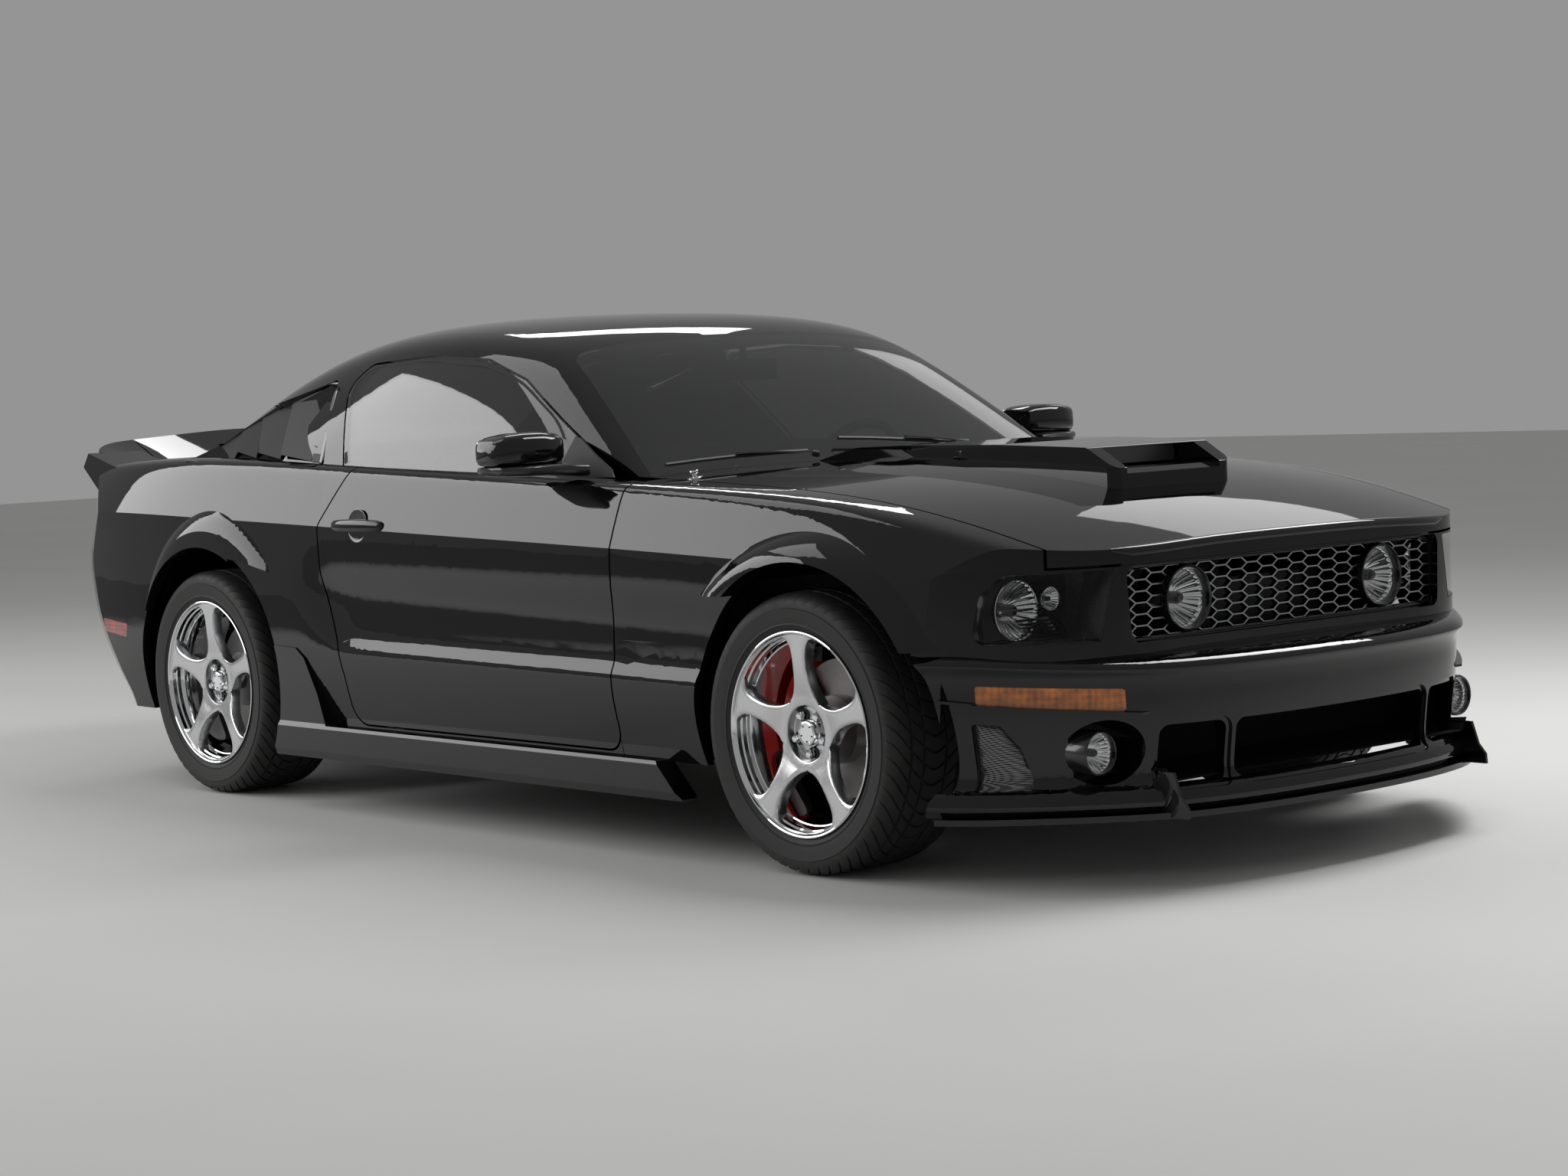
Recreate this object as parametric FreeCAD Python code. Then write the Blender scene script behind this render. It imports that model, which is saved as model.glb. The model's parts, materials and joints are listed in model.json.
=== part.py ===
"""Two-door fastback muscle car with a body kit, built as separate pieces.

All lengths are millimetres.  X points forward, Y to the driver's left and Z up.
The origin is on the ground, under the middle of the whole car.
Tables whose name ends in shares hold parts of the sizes that they follow.
"""
import FreeCAD
import Part

import math
import os

from FreeCAD import Vector

# Overall sizes
wheelbase = 2720.0
front_overhang = 920.0
rear_overhang = 1062.0
body_width = 1877.0
belt_height = 972.0
glasshouse_height = 406.0
sill_height = 240.0
ground_clearance = 150.0

# Running gaps and walls
panel_gap = 6.0
seat_gap = 0.3
shaft_gap = 0.05
glass_gap = 0.5
panel_wall = 24.0
press_depth = 13.0
roof_wall = 34.0
glass_wall = 5.0
door_wall = 118.0
overrun = 60.0

# Wheels
tyre_radius = 338.0
tyre_width = 275.0
rim_radius = 247.0
rim_width = 262.0
rim_wall = 9.0
rim_face_half_track = 916.0
front_half_track = 794.0
hub_radius = 74.0
hub_face_depth = 62.0
spoke_count = 5
spoke_depth = 34.0
spoke_root_width = 92.0
spoke_tip_width = 60.0
lug_circle_radius = 57.15
lug_radius = 10.0
lug_length = 18.0
disc_radius = 168.0
disc_wall = 28.0
disc_hat_radius = 82.0
disc_hat_depth = 34.0

# Wheel arches and their flares
arch_gap = 75.0
flare_reach = 22.0
arch_shift = 45.0

# Doors
door_slant = 16.0
door_corner = 60.0
door_front_share = 0.2555
door_foot_height = 258.0
well_growth = 30.0
well_wall = 8.0
front_well_y = 452.0
rear_well_y = 600.0
well_lip_depth = 55.0

# Hood and deck lid
hood_half_width = 765.0
hood_bow = 82.0
lid_half_width = 600.0

# Glasshouse
glass_corner = 60.0
bulkhead_wall = 14.0

# Nose, lamps and grille
headlamp_depth = 90.0
headlamp_corner = 30.0
grille_corner = 26.0
grille_rim = 9.0
grille_depth = 60.0
round_lamp_radius = 80.0
round_lamp_depth = 70.0
round_lamp_proud = 18.0
cell_size = 25.0
cell_wall = 4.5
cell_depth = 14.0

# Bumpers, skirts and spoilers
bumper_wall = 26.0
bumper_step = 24.0
bumper_lift = 26.0
bay_corner = 24.0
bay_rim = 11.0
bay_rim_depth = 7.0
fog_radius = 52.0
fog_cup_radius = 74.0
fog_depth = 52.0
turn_corner = 6.0
turn_wall = 20.0
vent_depth = 10.0
fin_reach = 14.0
splitter_reach = 12.0
splitter_wall = 14.0
splitter_band = 110.0
fence_wall = 8.0
skirt_wall = 46.0
skirt_reach = 14.0
skirt_foot_z = 172.0
skirt_top_z = 252.0
scoop_corner = 30.0
spoiler_chord = 215.0
spoiler_wall = 24.0

# Pads for a jack
jack_inset = 160.0
jack_pad = 60.0
jack_wall = 12.0

# Number plate holes in the rear bumper
plate_spacing = 177.8
plate_hole_radius = 3.0
plate_hole_z = 520.0
plate_hole_depth = 60.0

# Axles, brakes and steering
tyre_shoulder = 30.0
kingpin_inset = 150.0
kingpin_radius = 17.0
kingpin_reach = 118.0
ball_wall = 12.0
knuckle_radius = 62.0
knuckle_wall = 26.0
stub_radius = 30.0
caliper_wall = 26.0
caliper_half_angle = 34.0
caliper_lift = 18.0
caliper_radius = 150.0
crossmember_half = 90.0
crossmember_wall = 60.0
arm_width = 70.0
axle_tube_radius = 38.0
axle_case_radius = 125.0
hump_rear = 190.0
hump_front = 150.0
hump_top_z = 500.0
axle_travel = 32.0

# Drive line and cabin
damper_radius = 26.0
engine_length = 620.0
engine_width = 560.0
engine_height = 480.0
radiator_wall = 60.0
exhaust_radius = 32.0
seat_length = 520.0
seat_width = 500.0
seat_height = 190.0
seat_back = 560.0
dash_depth = 330.0
dash_foot_z = 560.0
column_angle = 24.0
column_length = 130.0
column_radius = 20.0
steering_wheel_radius = 180.0
steering_grip_radius = 14.0
mirror_wall = 22.0
mirror_width = 230.0
mirror_height = 60.0
door_mirror_depth = 112.0
door_mirror_height = 118.0
door_mirror_z = 945.0
door_mirror_reach = 195.0
door_mirror_corner = 22.0
wiper_length = 480.0
wiper_radius = 7.0
wiper_sweep = 40.0
wiper_lift = 12.0
wiper_spans = 5

half_width = body_width / 2
roof_height = belt_height + glasshouse_height
length = front_overhang + wheelbase + rear_overhang
front_axle_x = length / 2 - front_overhang
rear_axle_x = front_axle_x - wheelbase
nose_x = length / 2
tail_x = -length / 2
arch_radius = tyre_radius + arch_gap


def place(share):
    """X of a station: -1 is the front end, 0 and 1 are the axles, 2 is the rear end."""
    if share < 0:
        return front_axle_x - share * front_overhang
    if share > 1:
        return rear_axle_x - (share - 1) * rear_overhang
    return front_axle_x - share * wheelbase


def level(share):
    """Z of a height: 0 is the ground, 1 is the belt and 2 is the roof."""
    if share > 1:
        return belt_height + (share - 1) * glasshouse_height
    return belt_height * share


def box(x0, x1, y0, y1, z0, z1):
    return Part.makeBox(x1 - x0, y1 - y0, z1 - z0, Vector(x0, y0, z0))


def rod_y(x, z, radius, y0, y1):
    return Part.makeCylinder(radius, y1 - y0, Vector(x, y0, z), Vector(0, 1, 0))


def rod_x(y, z, radius, x0, x1):
    return Part.makeCylinder(radius, x1 - x0, Vector(x0, y, z), Vector(1, 0, 0))


def rod_z(x, y, radius, z0, z1):
    return Part.makeCylinder(radius, z1 - z0, Vector(x, y, z0), Vector(0, 0, 1))


def rod(start, end, radius):
    return Part.makeCylinder(radius, (end - start).Length, start, end - start)


def mirrored(shape):
    return shape.mirror(Vector(0, 0, 0), Vector(0, 1, 0))


def pair(shape):
    return Part.makeCompound([shape, mirrored(shape)])


def one(shape):
    """The largest solid of a result, so that no sliver is kept."""
    return max(shape.Solids, key=lambda solid: solid.Volume)


def rounded(corners, radius):
    """Closed wire through the corners, each rounded by up to the radius."""
    edges = []
    arcs = []
    count = len(corners)
    for i, corner in enumerate(corners):
        before = corners[i - 1] - corner
        after = corners[(i + 1) % count] - corner
        half = before.getAngle(after) / 2
        reach = min(radius / math.tan(half), before.Length * 0.45, after.Length * 0.45)
        start = corner + Vector(before).normalize() * reach
        end = corner + Vector(after).normalize() * reach
        way = (Vector(before).normalize() + Vector(after).normalize())
        if half > math.pi / 2 * 0.98:
            arcs.append((corner, None, corner))
            continue
        way.normalize()
        arc_radius = reach * math.tan(half)
        middle = corner + way * (arc_radius / math.sin(half) - arc_radius)
        arcs.append((start, middle, end))
    for i, (start, middle, end) in enumerate(arcs):
        if middle is not None:
            edges.append(Part.Arc(start, middle, end).toShape())
        following = arcs[(i + 1) % count][0]
        if (following - end).Length > 1e-6:
            edges.append(Part.LineSegment(end, following).toShape())
    return Part.Wire(edges)


def side_prism(points, radius, y0, y1, slant=0.0):
    """Solid from a side-view outline of X and Z, pushed across the car."""
    corners = [Vector(x, y0, z) for x, z in points]
    wire = rounded(corners, radius) if radius else Part.makePolygon(corners + corners[:1])
    return Part.Face(wire).extrude(Vector((y1 - y0) * slant, y1 - y0, 0))


def plan_prism(points, radius, z0, z1):
    """Solid from a plan outline of X and Y, pushed up."""
    corners = [Vector(x, y, z0) for x, y in points]
    wire = rounded(corners, radius) if radius else Part.makePolygon(corners + corners[:1])
    return Part.Face(wire).extrude(Vector(0, 0, z1 - z0))


def curve(points):
    spline = Part.BSplineCurve()
    spline.interpolate(points)
    return spline.toShape()


def knot_table(count):
    degree = 3
    spans = count - degree
    return list(range(spans + 1)), [degree + 1] + [1] * (spans - 1) + [degree + 1]


def net_face(rows):
    """Smooth face held by a net of control points."""
    surface = Part.BSplineSurface()
    u_knots, u_mults = knot_table(len(rows))
    v_knots, v_mults = knot_table(len(rows[0]))
    surface.buildFromPolesMultsKnots(rows, u_mults, v_mults, u_knots, v_knots, False, False, 3, 3)
    return surface.toShape()


def net_curve(poles):
    spline = Part.BSplineCurve()
    knots, mults = knot_table(len(poles))
    spline.buildFromPolesMultsKnots(poles, mults, knots, False, 3)
    return spline.toShape()


def closed(faces):
    shell = Part.makeShell(faces)
    shell.sewShape()
    solid = Part.makeSolid(shell)
    if solid.Volume < 0:
        solid.reverse()
    return solid


# Lower body: one row for each station, from the nose to the tail.
# Station, half width and height of the crease, half width and height of the
# shoulder, and height on the centre line.  Widths are shares of the half width.
body_shares = [
    (-0.922, 0.860, 0.690, 0.790, 0.735, 0.775),
    (-0.596, 0.940, 0.725, 0.868, 0.820, 0.880),
    (-0.214, 0.978, 0.756, 0.908, 0.900, 0.945),
    (0.075, 0.984, 0.774, 0.922, 0.938, 0.972),
    (0.250, 0.982, 0.794, 0.926, 0.960, 0.990),
    (0.440, 0.982, 0.811, 0.928, 0.984, 1.012),
    (0.640, 0.985, 0.830, 0.928, 1.014, 1.048),
    (0.700, 0.987, 0.836, 0.929, 1.030, 1.063),
    (0.740, 0.988, 0.840, 0.929, 1.042, 1.073),
    (0.770, 0.989, 0.843, 0.929, 1.050, 1.081),
    (0.800, 0.990, 0.846, 0.930, 1.059, 1.088),
    (0.830, 0.991, 0.848, 0.930, 1.067, 1.096),
    (1.000, 0.996, 0.864, 0.934, 1.115, 1.148),
    (1.350, 0.990, 0.876, 0.925, 1.105, 1.148),
    (1.670, 0.965, 0.880, 0.895, 1.072, 1.110),
    (2.050, 0.900, 0.876, 0.820, 1.005, 1.024),
]
# Rows below the crease: share of the drop to the sill, bulge of the side, and
# the station behind which the pressed panel of the door ends at that row
flank_shares = [(0.0, 0.000, 0.00), (0.16, 0.004, 0.00), (0.30, 0.009, 0.79), (0.42, 0.012, 0.775),
                (0.50, 0.013, 0.755), (0.545, 0.0135, 0.735), (0.595, 0.0135, 0.00), (0.64, 0.013, 0.00),
                (0.78, 0.006, 0.00), (1.0, -0.022, 0.00)]
panel_fade_share = 0.045


def panel_depth(at, end):
    """Depth of the pressed side panel at a station, fading out towards its C-shaped end."""
    if not end or at < 0:
        return 0.0
    return press_depth * min(1.0, max(0.0, (end - at) / panel_fade_share))


def body_solid(inset):
    """Lower body inside its skin, drawn in by the inset."""
    upper = []
    flank = []
    ends = len(body_shares) - 1
    for i, (at, crease_y, crease_z, shoulder_y, shoulder_z, centre_z) in enumerate(body_shares):
        x = place(at)
        cy = crease_y * half_width - inset
        cz = level(crease_z)
        sy = shoulder_y * half_width - inset
        sz = level(shoulder_z) - inset
        tz = level(centre_z) - inset
        half = [
            (cy, cz),
            (cy + (sy - cy) * 0.30, cz + (sz - cz) * 0.36),
            (cy + (sy - cy) * 0.72, cz + (sz - cz) * 0.80),
            (sy, sz),
            (sy * 0.90, sz + (tz - sz) * 0.22),
            (sy * 0.62, sz + (tz - sz) * 0.72),
            (sy * 0.28, tz),
        ]
        upper.append([Vector(x, -y, z) for y, z in half] + [Vector(x, y, z) for y, z in reversed(half)])
        foot = sill_height + inset
        flank.append([Vector(x, -(cy + bulge * half_width - panel_depth(at, end)), cz + (foot - cz) * drop)
                      for drop, bulge, end in flank_shares])
    right = net_face(flank)
    left = mirrored(right)
    top = net_face(upper)
    floor_edges = [net_curve([row[-1] for row in flank])]
    floor_edges.append(mirrored(floor_edges[0]))
    for i in (0, ends):
        foot = flank[i][-1]
        floor_edges.append(Part.LineSegment(foot, Vector(foot.x, -foot.y, foot.z)).toShape())
    floor = Part.Face(Part.Wire(Part.__sortEdges__(floor_edges)))
    caps = []
    for i in (0, ends):
        side = net_curve(flank[i])
        foot = flank[i][-1]
        base = Part.LineSegment(foot, Vector(foot.x, -foot.y, foot.z)).toShape()
        edges = [net_curve(upper[i]), side, mirrored(side), base]
        caps.append(Part.Face(Part.Wire(Part.__sortEdges__(edges))))
    return closed([top, right, left, floor] + caps)


# Glasshouse, by the same way: station, belt half width and height, rail half width
# and height, height on the centre line, and how far the middle bows forward.
roof_shares = [
    (0.222, 0.852, 0.885, 0.788, 0.885, 0.910, 0.008),
    (0.270, 0.884, 0.916, 0.808, 0.960, 1.016, 0.012),
    (0.360, 0.906, 0.926, 0.762, 1.294, 1.443, 0.024),
    (0.452, 0.914, 0.941, 0.698, 1.678, 1.830, 0.022),
    (0.520, 0.918, 0.947, 0.674, 1.847, 1.993, 0.011),
    (0.640, 0.923, 0.963, 0.674, 1.915, 2.041, 0.000),
    (0.790, 0.925, 0.978, 0.671, 1.874, 2.034, 0.000),
    (0.920, 0.925, 0.992, 0.663, 1.688, 1.932, 0.000),
    (1.074, 0.916, 1.023, 0.645, 1.450, 1.661, -0.007),
    (1.265, 0.884, 1.009, 0.618, 1.202, 1.355, -0.012),
    (1.409, 0.780, 0.964, 0.590, 0.968, 0.988, -0.012),
]


# How much of an inset goes sideways where the rail slants
rail_slant_share = 0.7
roof_drop_share = 0.5


def roof_solid(inset):
    """Glasshouse inside its skin, drawn in by the inset and open below."""
    rows = []
    for at, belt_y, belt_z, rail_y, rail_z, centre_z, bow in roof_shares:
        by = belt_y * half_width - inset
        bz = level(belt_z)
        ry = rail_y * half_width - inset * rail_slant_share
        rz = level(rail_z) - inset
        tz = level(centre_z) - inset
        half = [
            (by, bz),
            (by + (ry - by) * 0.32, bz + (rz - bz) * 0.40),
            (by + (ry - by) * 0.74, bz + (rz - bz) * 0.82),
            (ry, rz),
            (ry * 0.78, rz + (tz - rz) * 0.62),
            (ry * 0.34, tz),
        ]
        full = [(-y, z) for y, z in half] + [(y, z) for y, z in reversed(half)]
        rows.append([Vector(place(at) + wheelbase * bow * (1 - (y / by) ** 2), y, z) for y, z in full])
    return net_face(rows).extrude(Vector(0, 0, -(roof_height - sill_height) * roof_drop_share))


# Plan of the nose above the bumper: overhang and half-width shares
nose_shares = [(0.846, 0.0), (0.838, 0.37), (0.812, 0.60), (0.726, 0.77), (0.5625, 0.905), (0.3375, 1.01)]
# Plan of the tail, with the share of the tuck at its foot that each place takes
tail_shares = [(0.998, 0.0, 0.50), (0.994, 0.36, 0.55), (0.955, 0.66, 0.75), (0.885, 0.82, 0.95),
               (0.76, 0.925, 1.0), (0.60, 1.00, 1.0), (0.40, 1.05, 1.0)]
# Rows of the tail: height, and how far that row is drawn in
tail_row_shares = [(0.0, 0.30), (0.235, 0.26), (0.33, 0.165), (0.385, 0.12), (0.45, 0.07), (0.54, 0.022),
                   (0.63, 0.012), (0.72, 0.0), (0.82, 0.035), (0.93, 0.075), (1.10, 0.10), (2.0, 0.10)]


def nose_prism(inset):
    """Plan of the whole body with its rounded nose, pushed up."""
    nose = [Vector(front_axle_x + a * front_overhang - inset, -b * half_width, 0) for a, b in nose_shares]
    nose = [Vector(p.x, -p.y, 0) for p in reversed(nose[1:])] + nose
    wide = half_width + overrun
    corners = [nose[-1], Vector(nose[-1].x, -wide, 0), Vector(tail_x - overrun, -wide, 0),
               Vector(tail_x - overrun, wide, 0), Vector(nose[0].x, wide, 0), nose[0]]
    edges = [curve(nose)]
    for start, end in zip(corners, corners[1:]):
        edges.append(Part.LineSegment(start, end).toShape())
    return Part.Face(Part.Wire(Part.__sortEdges__(edges))).extrude(Vector(0, 0, roof_height))


def tail_block(inset):
    """All that lies ahead of the rounded tail, whose foot tucks under."""
    rows = []
    for height, draw in tail_row_shares:
        right = [Vector(rear_axle_x - (a - draw * tuck) * rear_overhang + inset, -b * half_width,
                        level(height))
                 for a, b, tuck in tail_shares]
        rows.append([Vector(p.x, -p.y, p.z) for p in reversed(right[1:])] + right)
    return net_face(rows).extrude(Vector(length, 0, 0))


def end_prism(inset):
    return nose_prism(inset).common(tail_block(inset))


# Rear edge of the door, from above the belt down
door_rear_shares = [(0.706, 1.19), (0.715, 1.0), (0.752, 0.84), (0.7485, 0.70), (0.717, 0.50), (0.709, 0.40)]


def door_points():
    """Side-view outline of the right door's outer skin."""
    front = place(door_front_share)
    points = [(front, door_foot_height), (front, level(door_rear_shares[0][1]))]
    points += [(place(a), level(z)) for a, z in door_rear_shares]
    points.append((place(door_rear_shares[0][0]), door_foot_height))
    return points


def door_prism(grow):
    """Door outline pushed inwards on a slant, so that its rear edge clears as it opens."""
    slant = math.tan(math.radians(door_slant))
    face = Part.Face(rounded([Vector(x, 0, z) for x, z in door_points()], door_corner))
    if grow:
        face = Part.Face(face.makeOffset2D(grow).Wires[0])
    face.translate(Vector(-slant * overrun, -half_width - overrun, 0))
    reach = door_wall + overrun + (overrun if grow else 0)
    return face.extrude(Vector(slant * reach, reach, 0))


# Window outlines in side view
door_glass_shares = [(0.262, 0.907), (0.730, 0.978), (0.795, 1.593), (0.770, 1.732),
                     (0.660, 1.762), (0.555, 1.718), (0.480, 1.569), (0.400, 1.287), (0.300, 0.978)]
quarter_shares = [(0.868, 1.023), (1.158, 1.090), (1.143, 1.185), (0.935, 1.484), (0.835, 1.644),
                  (0.822, 1.593)]
# Windscreen and rear window in plan: stations and half-width shares
windscreen_shares = [(0.235, 0.812), (0.455, 0.640), (0.447, 0.32), (0.444, 0.0)]
rear_window_shares = [(0.90, 0.0), (0.905, 0.30), (0.925, 0.555), (1.366, 0.535)]


def window_points(shares):
    return [(place(a), level(z)) for a, z in shares]


def plan_window(shares, grow):
    right = [(place(a), -y * half_width) for a, y in shares]
    left = [(x, -y) for x, y in reversed(right) if y]
    corners = [Vector(x, y, belt_height * 0.5) for x, y in right + left]
    face = Part.Face(rounded(corners, glass_corner))
    if grow:
        face = Part.Face(face.makeOffset2D(grow).Wires[0])
    return face.extrude(Vector(0, 0, roof_height))


def side_window(shares, corner, grow):
    face = Part.Face(rounded([Vector(x, 0, z) for x, z in window_points(shares)], corner))
    if grow:
        face = Part.Face(face.makeOffset2D(grow).Wires[0])
    face.translate(Vector(0, -half_width - overrun, 0))
    return face.extrude(Vector(0, half_width * 0.9, 0))


sub_parts = {}


def add(name, shape):
    sub_parts[name] = shape


# The closed outer form, the space inside its walls, and the same for the glasshouse
outer = body_solid(0.0).common(end_prism(0.0))
hollow = body_solid(panel_wall).common(end_prism(panel_wall))
house = roof_solid(0.0)
house_glass = roof_solid(glass_wall)
house_core = roof_solid(roof_wall)

jamb_y = half_width - door_wall
door_front_x = place(door_front_share)
jamb_front_x = door_front_x + door_wall
jamb_rear_x = place(0.86)
well_radius = arch_radius + well_growth
well_lip_y = half_width - well_lip_depth


def wheel_well(axle_x, inner_y, grow):
    """Space round one right wheel: the arch in the skin and a wider well inside it.
    The front well is longer, because its wheel steers."""
    middle_x = axle_x + arch_shift
    y0 = -well_lip_y - grow
    y1 = -inner_y + grow
    roomy = rod_y(middle_x, tyre_radius, well_radius + grow, y0, y1)
    if axle_x > 0:
        roomy = roomy.fuse(rod_y(axle_x, tyre_radius, well_radius + grow, y0, y1))
    arch = rod_y(middle_x, tyre_radius, arch_radius, -half_width - overrun, -well_lip_y + overrun)
    return roomy if grow else roomy.fuse(arch)


wells = []
liners = []
for axle_x, inner_y in ((front_axle_x, front_well_y), (rear_axle_x, rear_well_y)):
    wells.append(wheel_well(axle_x, inner_y, 0.0))
    liners.append(wheel_well(axle_x, inner_y, well_wall))
wells += [mirrored(well) for well in wells]
liners += [mirrored(liner) for liner in liners]

for side in (-1, 1):
    y0, y1 = sorted((side * jamb_y, side * (half_width + overrun)))
    hollow = hollow.cut(box(jamb_rear_x, jamb_front_x, y0, y1, 0, roof_height))
for liner in liners:
    hollow = hollow.cut(liner)
cowl_cut_x = place(0.272)
cabin_cut = house_core.common(box(tail_x - overrun, cowl_cut_x, -half_width, half_width, 0, roof_height))
skin = outer.cut(hollow).cut(cabin_cut)
for well in wells:
    skin = skin.cut(well)

door_opening = door_prism(panel_gap)
skin = skin.cut(door_opening).cut(mirrored(door_opening))

# Hood: the top between the fenders, from the cowl to the lip over the grille
hood_rear_x = place(0.258)
hood_lip_z = level(0.752)
# Side edge of the hood: overhang share and half-width share, from the rear
hood_side_shares = [(0.0, 0.995), (0.5625, 0.965)]
hood_front_share = 0.93
hood_bow_share = 0.75


def hood_prism(grow):
    half = hood_half_width + grow
    narrow = half * hood_front_share
    rear = hood_rear_x - grow
    back = [Vector(rear + hood_bow, 0, 0), Vector(rear + hood_bow * hood_bow_share, -half / 2, 0),
            Vector(rear, -half, 0)]
    back = [Vector(p.x, -p.y, 0) for p in reversed(back[1:])] + back
    side_line = [Vector(rear, -half, 0)]
    side_line += [Vector(front_axle_x + a * front_overhang, -half * b, 0) for a, b in hood_side_shares]
    side_line.append(Vector(nose_x, -narrow, 0))
    right = curve(side_line)
    end = Part.LineSegment(side_line[-1], Vector(nose_x, narrow, 0)).toShape()
    wire = Part.Wire(Part.__sortEdges__([curve(back), right, end, mirrored(right)]))
    face = Part.Face(wire)
    face.translate(Vector(0, 0, hood_lip_z - grow))
    return face.extrude(Vector(0, 0, roof_height))


hood_zone = hood_prism(panel_gap)
add("hood", one(skin.common(hood_prism(0.0))))
rest = skin.cut(hood_zone)

# Deck lid, with the top of the tail panel
lid_front_x = place(1.439)
lid_foot_z = level(0.845)


def lid_prism(grow):
    half = lid_half_width + grow
    corners = [(lid_front_x + grow, -half), (lid_front_x + grow, half)]
    corners += [(tail_x - overrun, half), (tail_x - overrun, -half)]
    return plan_prism(corners, 0.0, lid_foot_z - grow, roof_height)


add("decklid", one(skin.common(lid_prism(0.0))))
rest = rest.cut(lid_prism(panel_gap))

# Front bumper: its plan from the centre line to the wheel arch, as overhang and
# half-width shares, with the share of the lift that its top edge takes there
bumper_plan_shares = [(1.0, 0.0, 0.0), (0.995, 0.18, 0.0), (0.974, 0.36, 0.0), (0.938, 0.50, 0.02),
                      (0.908, 0.570, 0.05), (0.866, 0.635, 0.10), (0.786, 0.735, 0.25), (0.690, 0.832, 0.55),
                      (0.585, 0.922, 0.90), (0.470, 0.985, 1.0), (0.360, 1.000, 1.0), (0.280, 1.006, 1.0)]
# Its rows from the foot to the top: height, steps drawn in, and share of the lift
bumper_row_shares = [(0.177, 0.50, 0.0), (0.190, 0.00, 0.0), (0.216, 0.05, 0.0), (0.234, 0.75, 0.0),
                     (0.245, 1.60, 0.0), (0.300, 1.40, 0.1), (0.385, 0.85, 0.3), (0.450, 0.80, 0.6),
                     (0.486, 0.75, 0.9), (0.503, 0.05, 1.0), (0.514, 0.00, 1.0), (0.533, 1.00, 1.0),
                     (0.537, 2.40, 1.0)]
bumper_core_shares = [(z, 1.6, lift) for z, step, lift in bumper_row_shares]


def bumper_skin(rows, grow):
    """All that lies behind the bumper's skin, whose rows step in and out."""
    plan = [Vector(front_axle_x + a * front_overhang, -b * half_width, 0)
            for a, b, rise in bumper_plan_shares]
    lines = [Vector(plan[0].x, -plan[1].y, 0)] + plan + [plan[-1] + (plan[-1] - plan[-2])]
    net = []
    for height, step, lift in rows:
        right = []
        for i, point in enumerate(plan):
            way = lines[i + 2] - lines[i]
            out = Vector(-way.y, way.x, 0).normalize() * (grow - step * bumper_step)
            rise = bumper_lift * lift * bumper_plan_shares[i][2]
            right.append(Vector(point.x + out.x, point.y + out.y if i else 0, level(height) + rise))
        net.append([Vector(p.x, -p.y, p.z) for p in reversed(right[1:])] + right)
    return net_face(net).extrude(Vector(-front_overhang, 0, 0))


bumper_block = bumper_skin(bumper_row_shares, 0.0)
bumper_seat = bumper_block.copy()
bumper_seat.translate(Vector(0, 0, seat_gap))
bumper_low_z = level(0.53)
bumper_zone = box(front_axle_x, nose_x + overrun, -half_width - overrun, half_width + overrun,
                  0, bumper_low_z)

# Front fenders with their wheel wells
nose_core = end_prism(panel_wall)
lamp_core = end_prism(headlamp_depth)
fender_rear_x = door_front_x + panel_gap
headlamp_shares = [(0.570, 0.577), (0.592, 0.690), (0.640, 0.738), (0.90, 0.746), (0.90, 0.575)]
# Inner edge of the headlamps, which leans outwards towards its foot
headlamp_inner_shares = [(0.616, 0.80), (0.690, 0.50)]


def headlamp_prism(grow):
    corners = [(front_axle_x + a * front_overhang, level(z)) for a, z in headlamp_shares]
    face = Part.Face(rounded([Vector(x, 0, z) for x, z in corners], headlamp_corner))
    if grow:
        face = Part.Face(face.makeOffset2D(grow).Wires[0])
    face.translate(Vector(0, -half_width - overrun, 0))
    (top_y, top_z), (foot_y, foot_z) = [(grow - y * half_width, level(z)) for y, z in headlamp_inner_shares]
    far_y = -half_width - overrun
    sides = [(far_y, top_z), (top_y, top_z), (foot_y, foot_z), (far_y, foot_z)]
    sides = [Vector(front_axle_x, y, z) for y, z in sides]
    inner_face = Part.Face(Part.makePolygon(sides + sides[:1]))
    return face.extrude(Vector(0, half_width, 0)).common(inner_face.extrude(Vector(front_overhang, 0, 0)))


headlamp_hole = headlamp_prism(glass_gap)
front_zone = box(fender_rear_x, nose_x, -half_width - overrun, -front_well_y + well_wall, 0, roof_height)
fender = rest.common(front_zone).common(nose_core).cut(bumper_zone).cut(bumper_seat).cut(headlamp_hole)
add("front_fenders", pair(one(fender)))
lamp = outer.common(headlamp_prism(0.0)).cut(lamp_core)
add("headlamps", pair(one(lamp)))

# Panel round the headlamps and the grille
nose_shell = outer.cut(nose_core).common(
    box(front_axle_x, nose_x, -half_width, half_width, bumper_low_z, hood_lip_z - panel_gap))
nose_crest = rest.cut(nose_core).common(
    box(front_axle_x, nose_x, -half_width, half_width, hood_lip_z - panel_gap, roof_height))
nose_shell = nose_shell.fuse(nose_crest)
grille_top_z = level(0.745)
grille_foot_z = level(0.564)
grille_half_top = half_width * 0.602
grille_half_foot = half_width * 0.590
grille_corners = [(-grille_half_top, grille_top_z), (grille_half_top, grille_top_z),
                  (grille_half_foot, grille_foot_z), (-grille_half_foot, grille_foot_z)]
grille_front_x = front_axle_x + front_overhang * 0.7875


def grille_prism(grow, x0, x1):
    face = Part.Face(rounded([Vector(x0, y, z) for y, z in grille_corners], grille_corner))
    if grow:
        face = Part.Face(face.makeOffset2D(grow).Wires[0])
    return face.extrude(Vector(x1 - x0, 0, 0))


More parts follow.
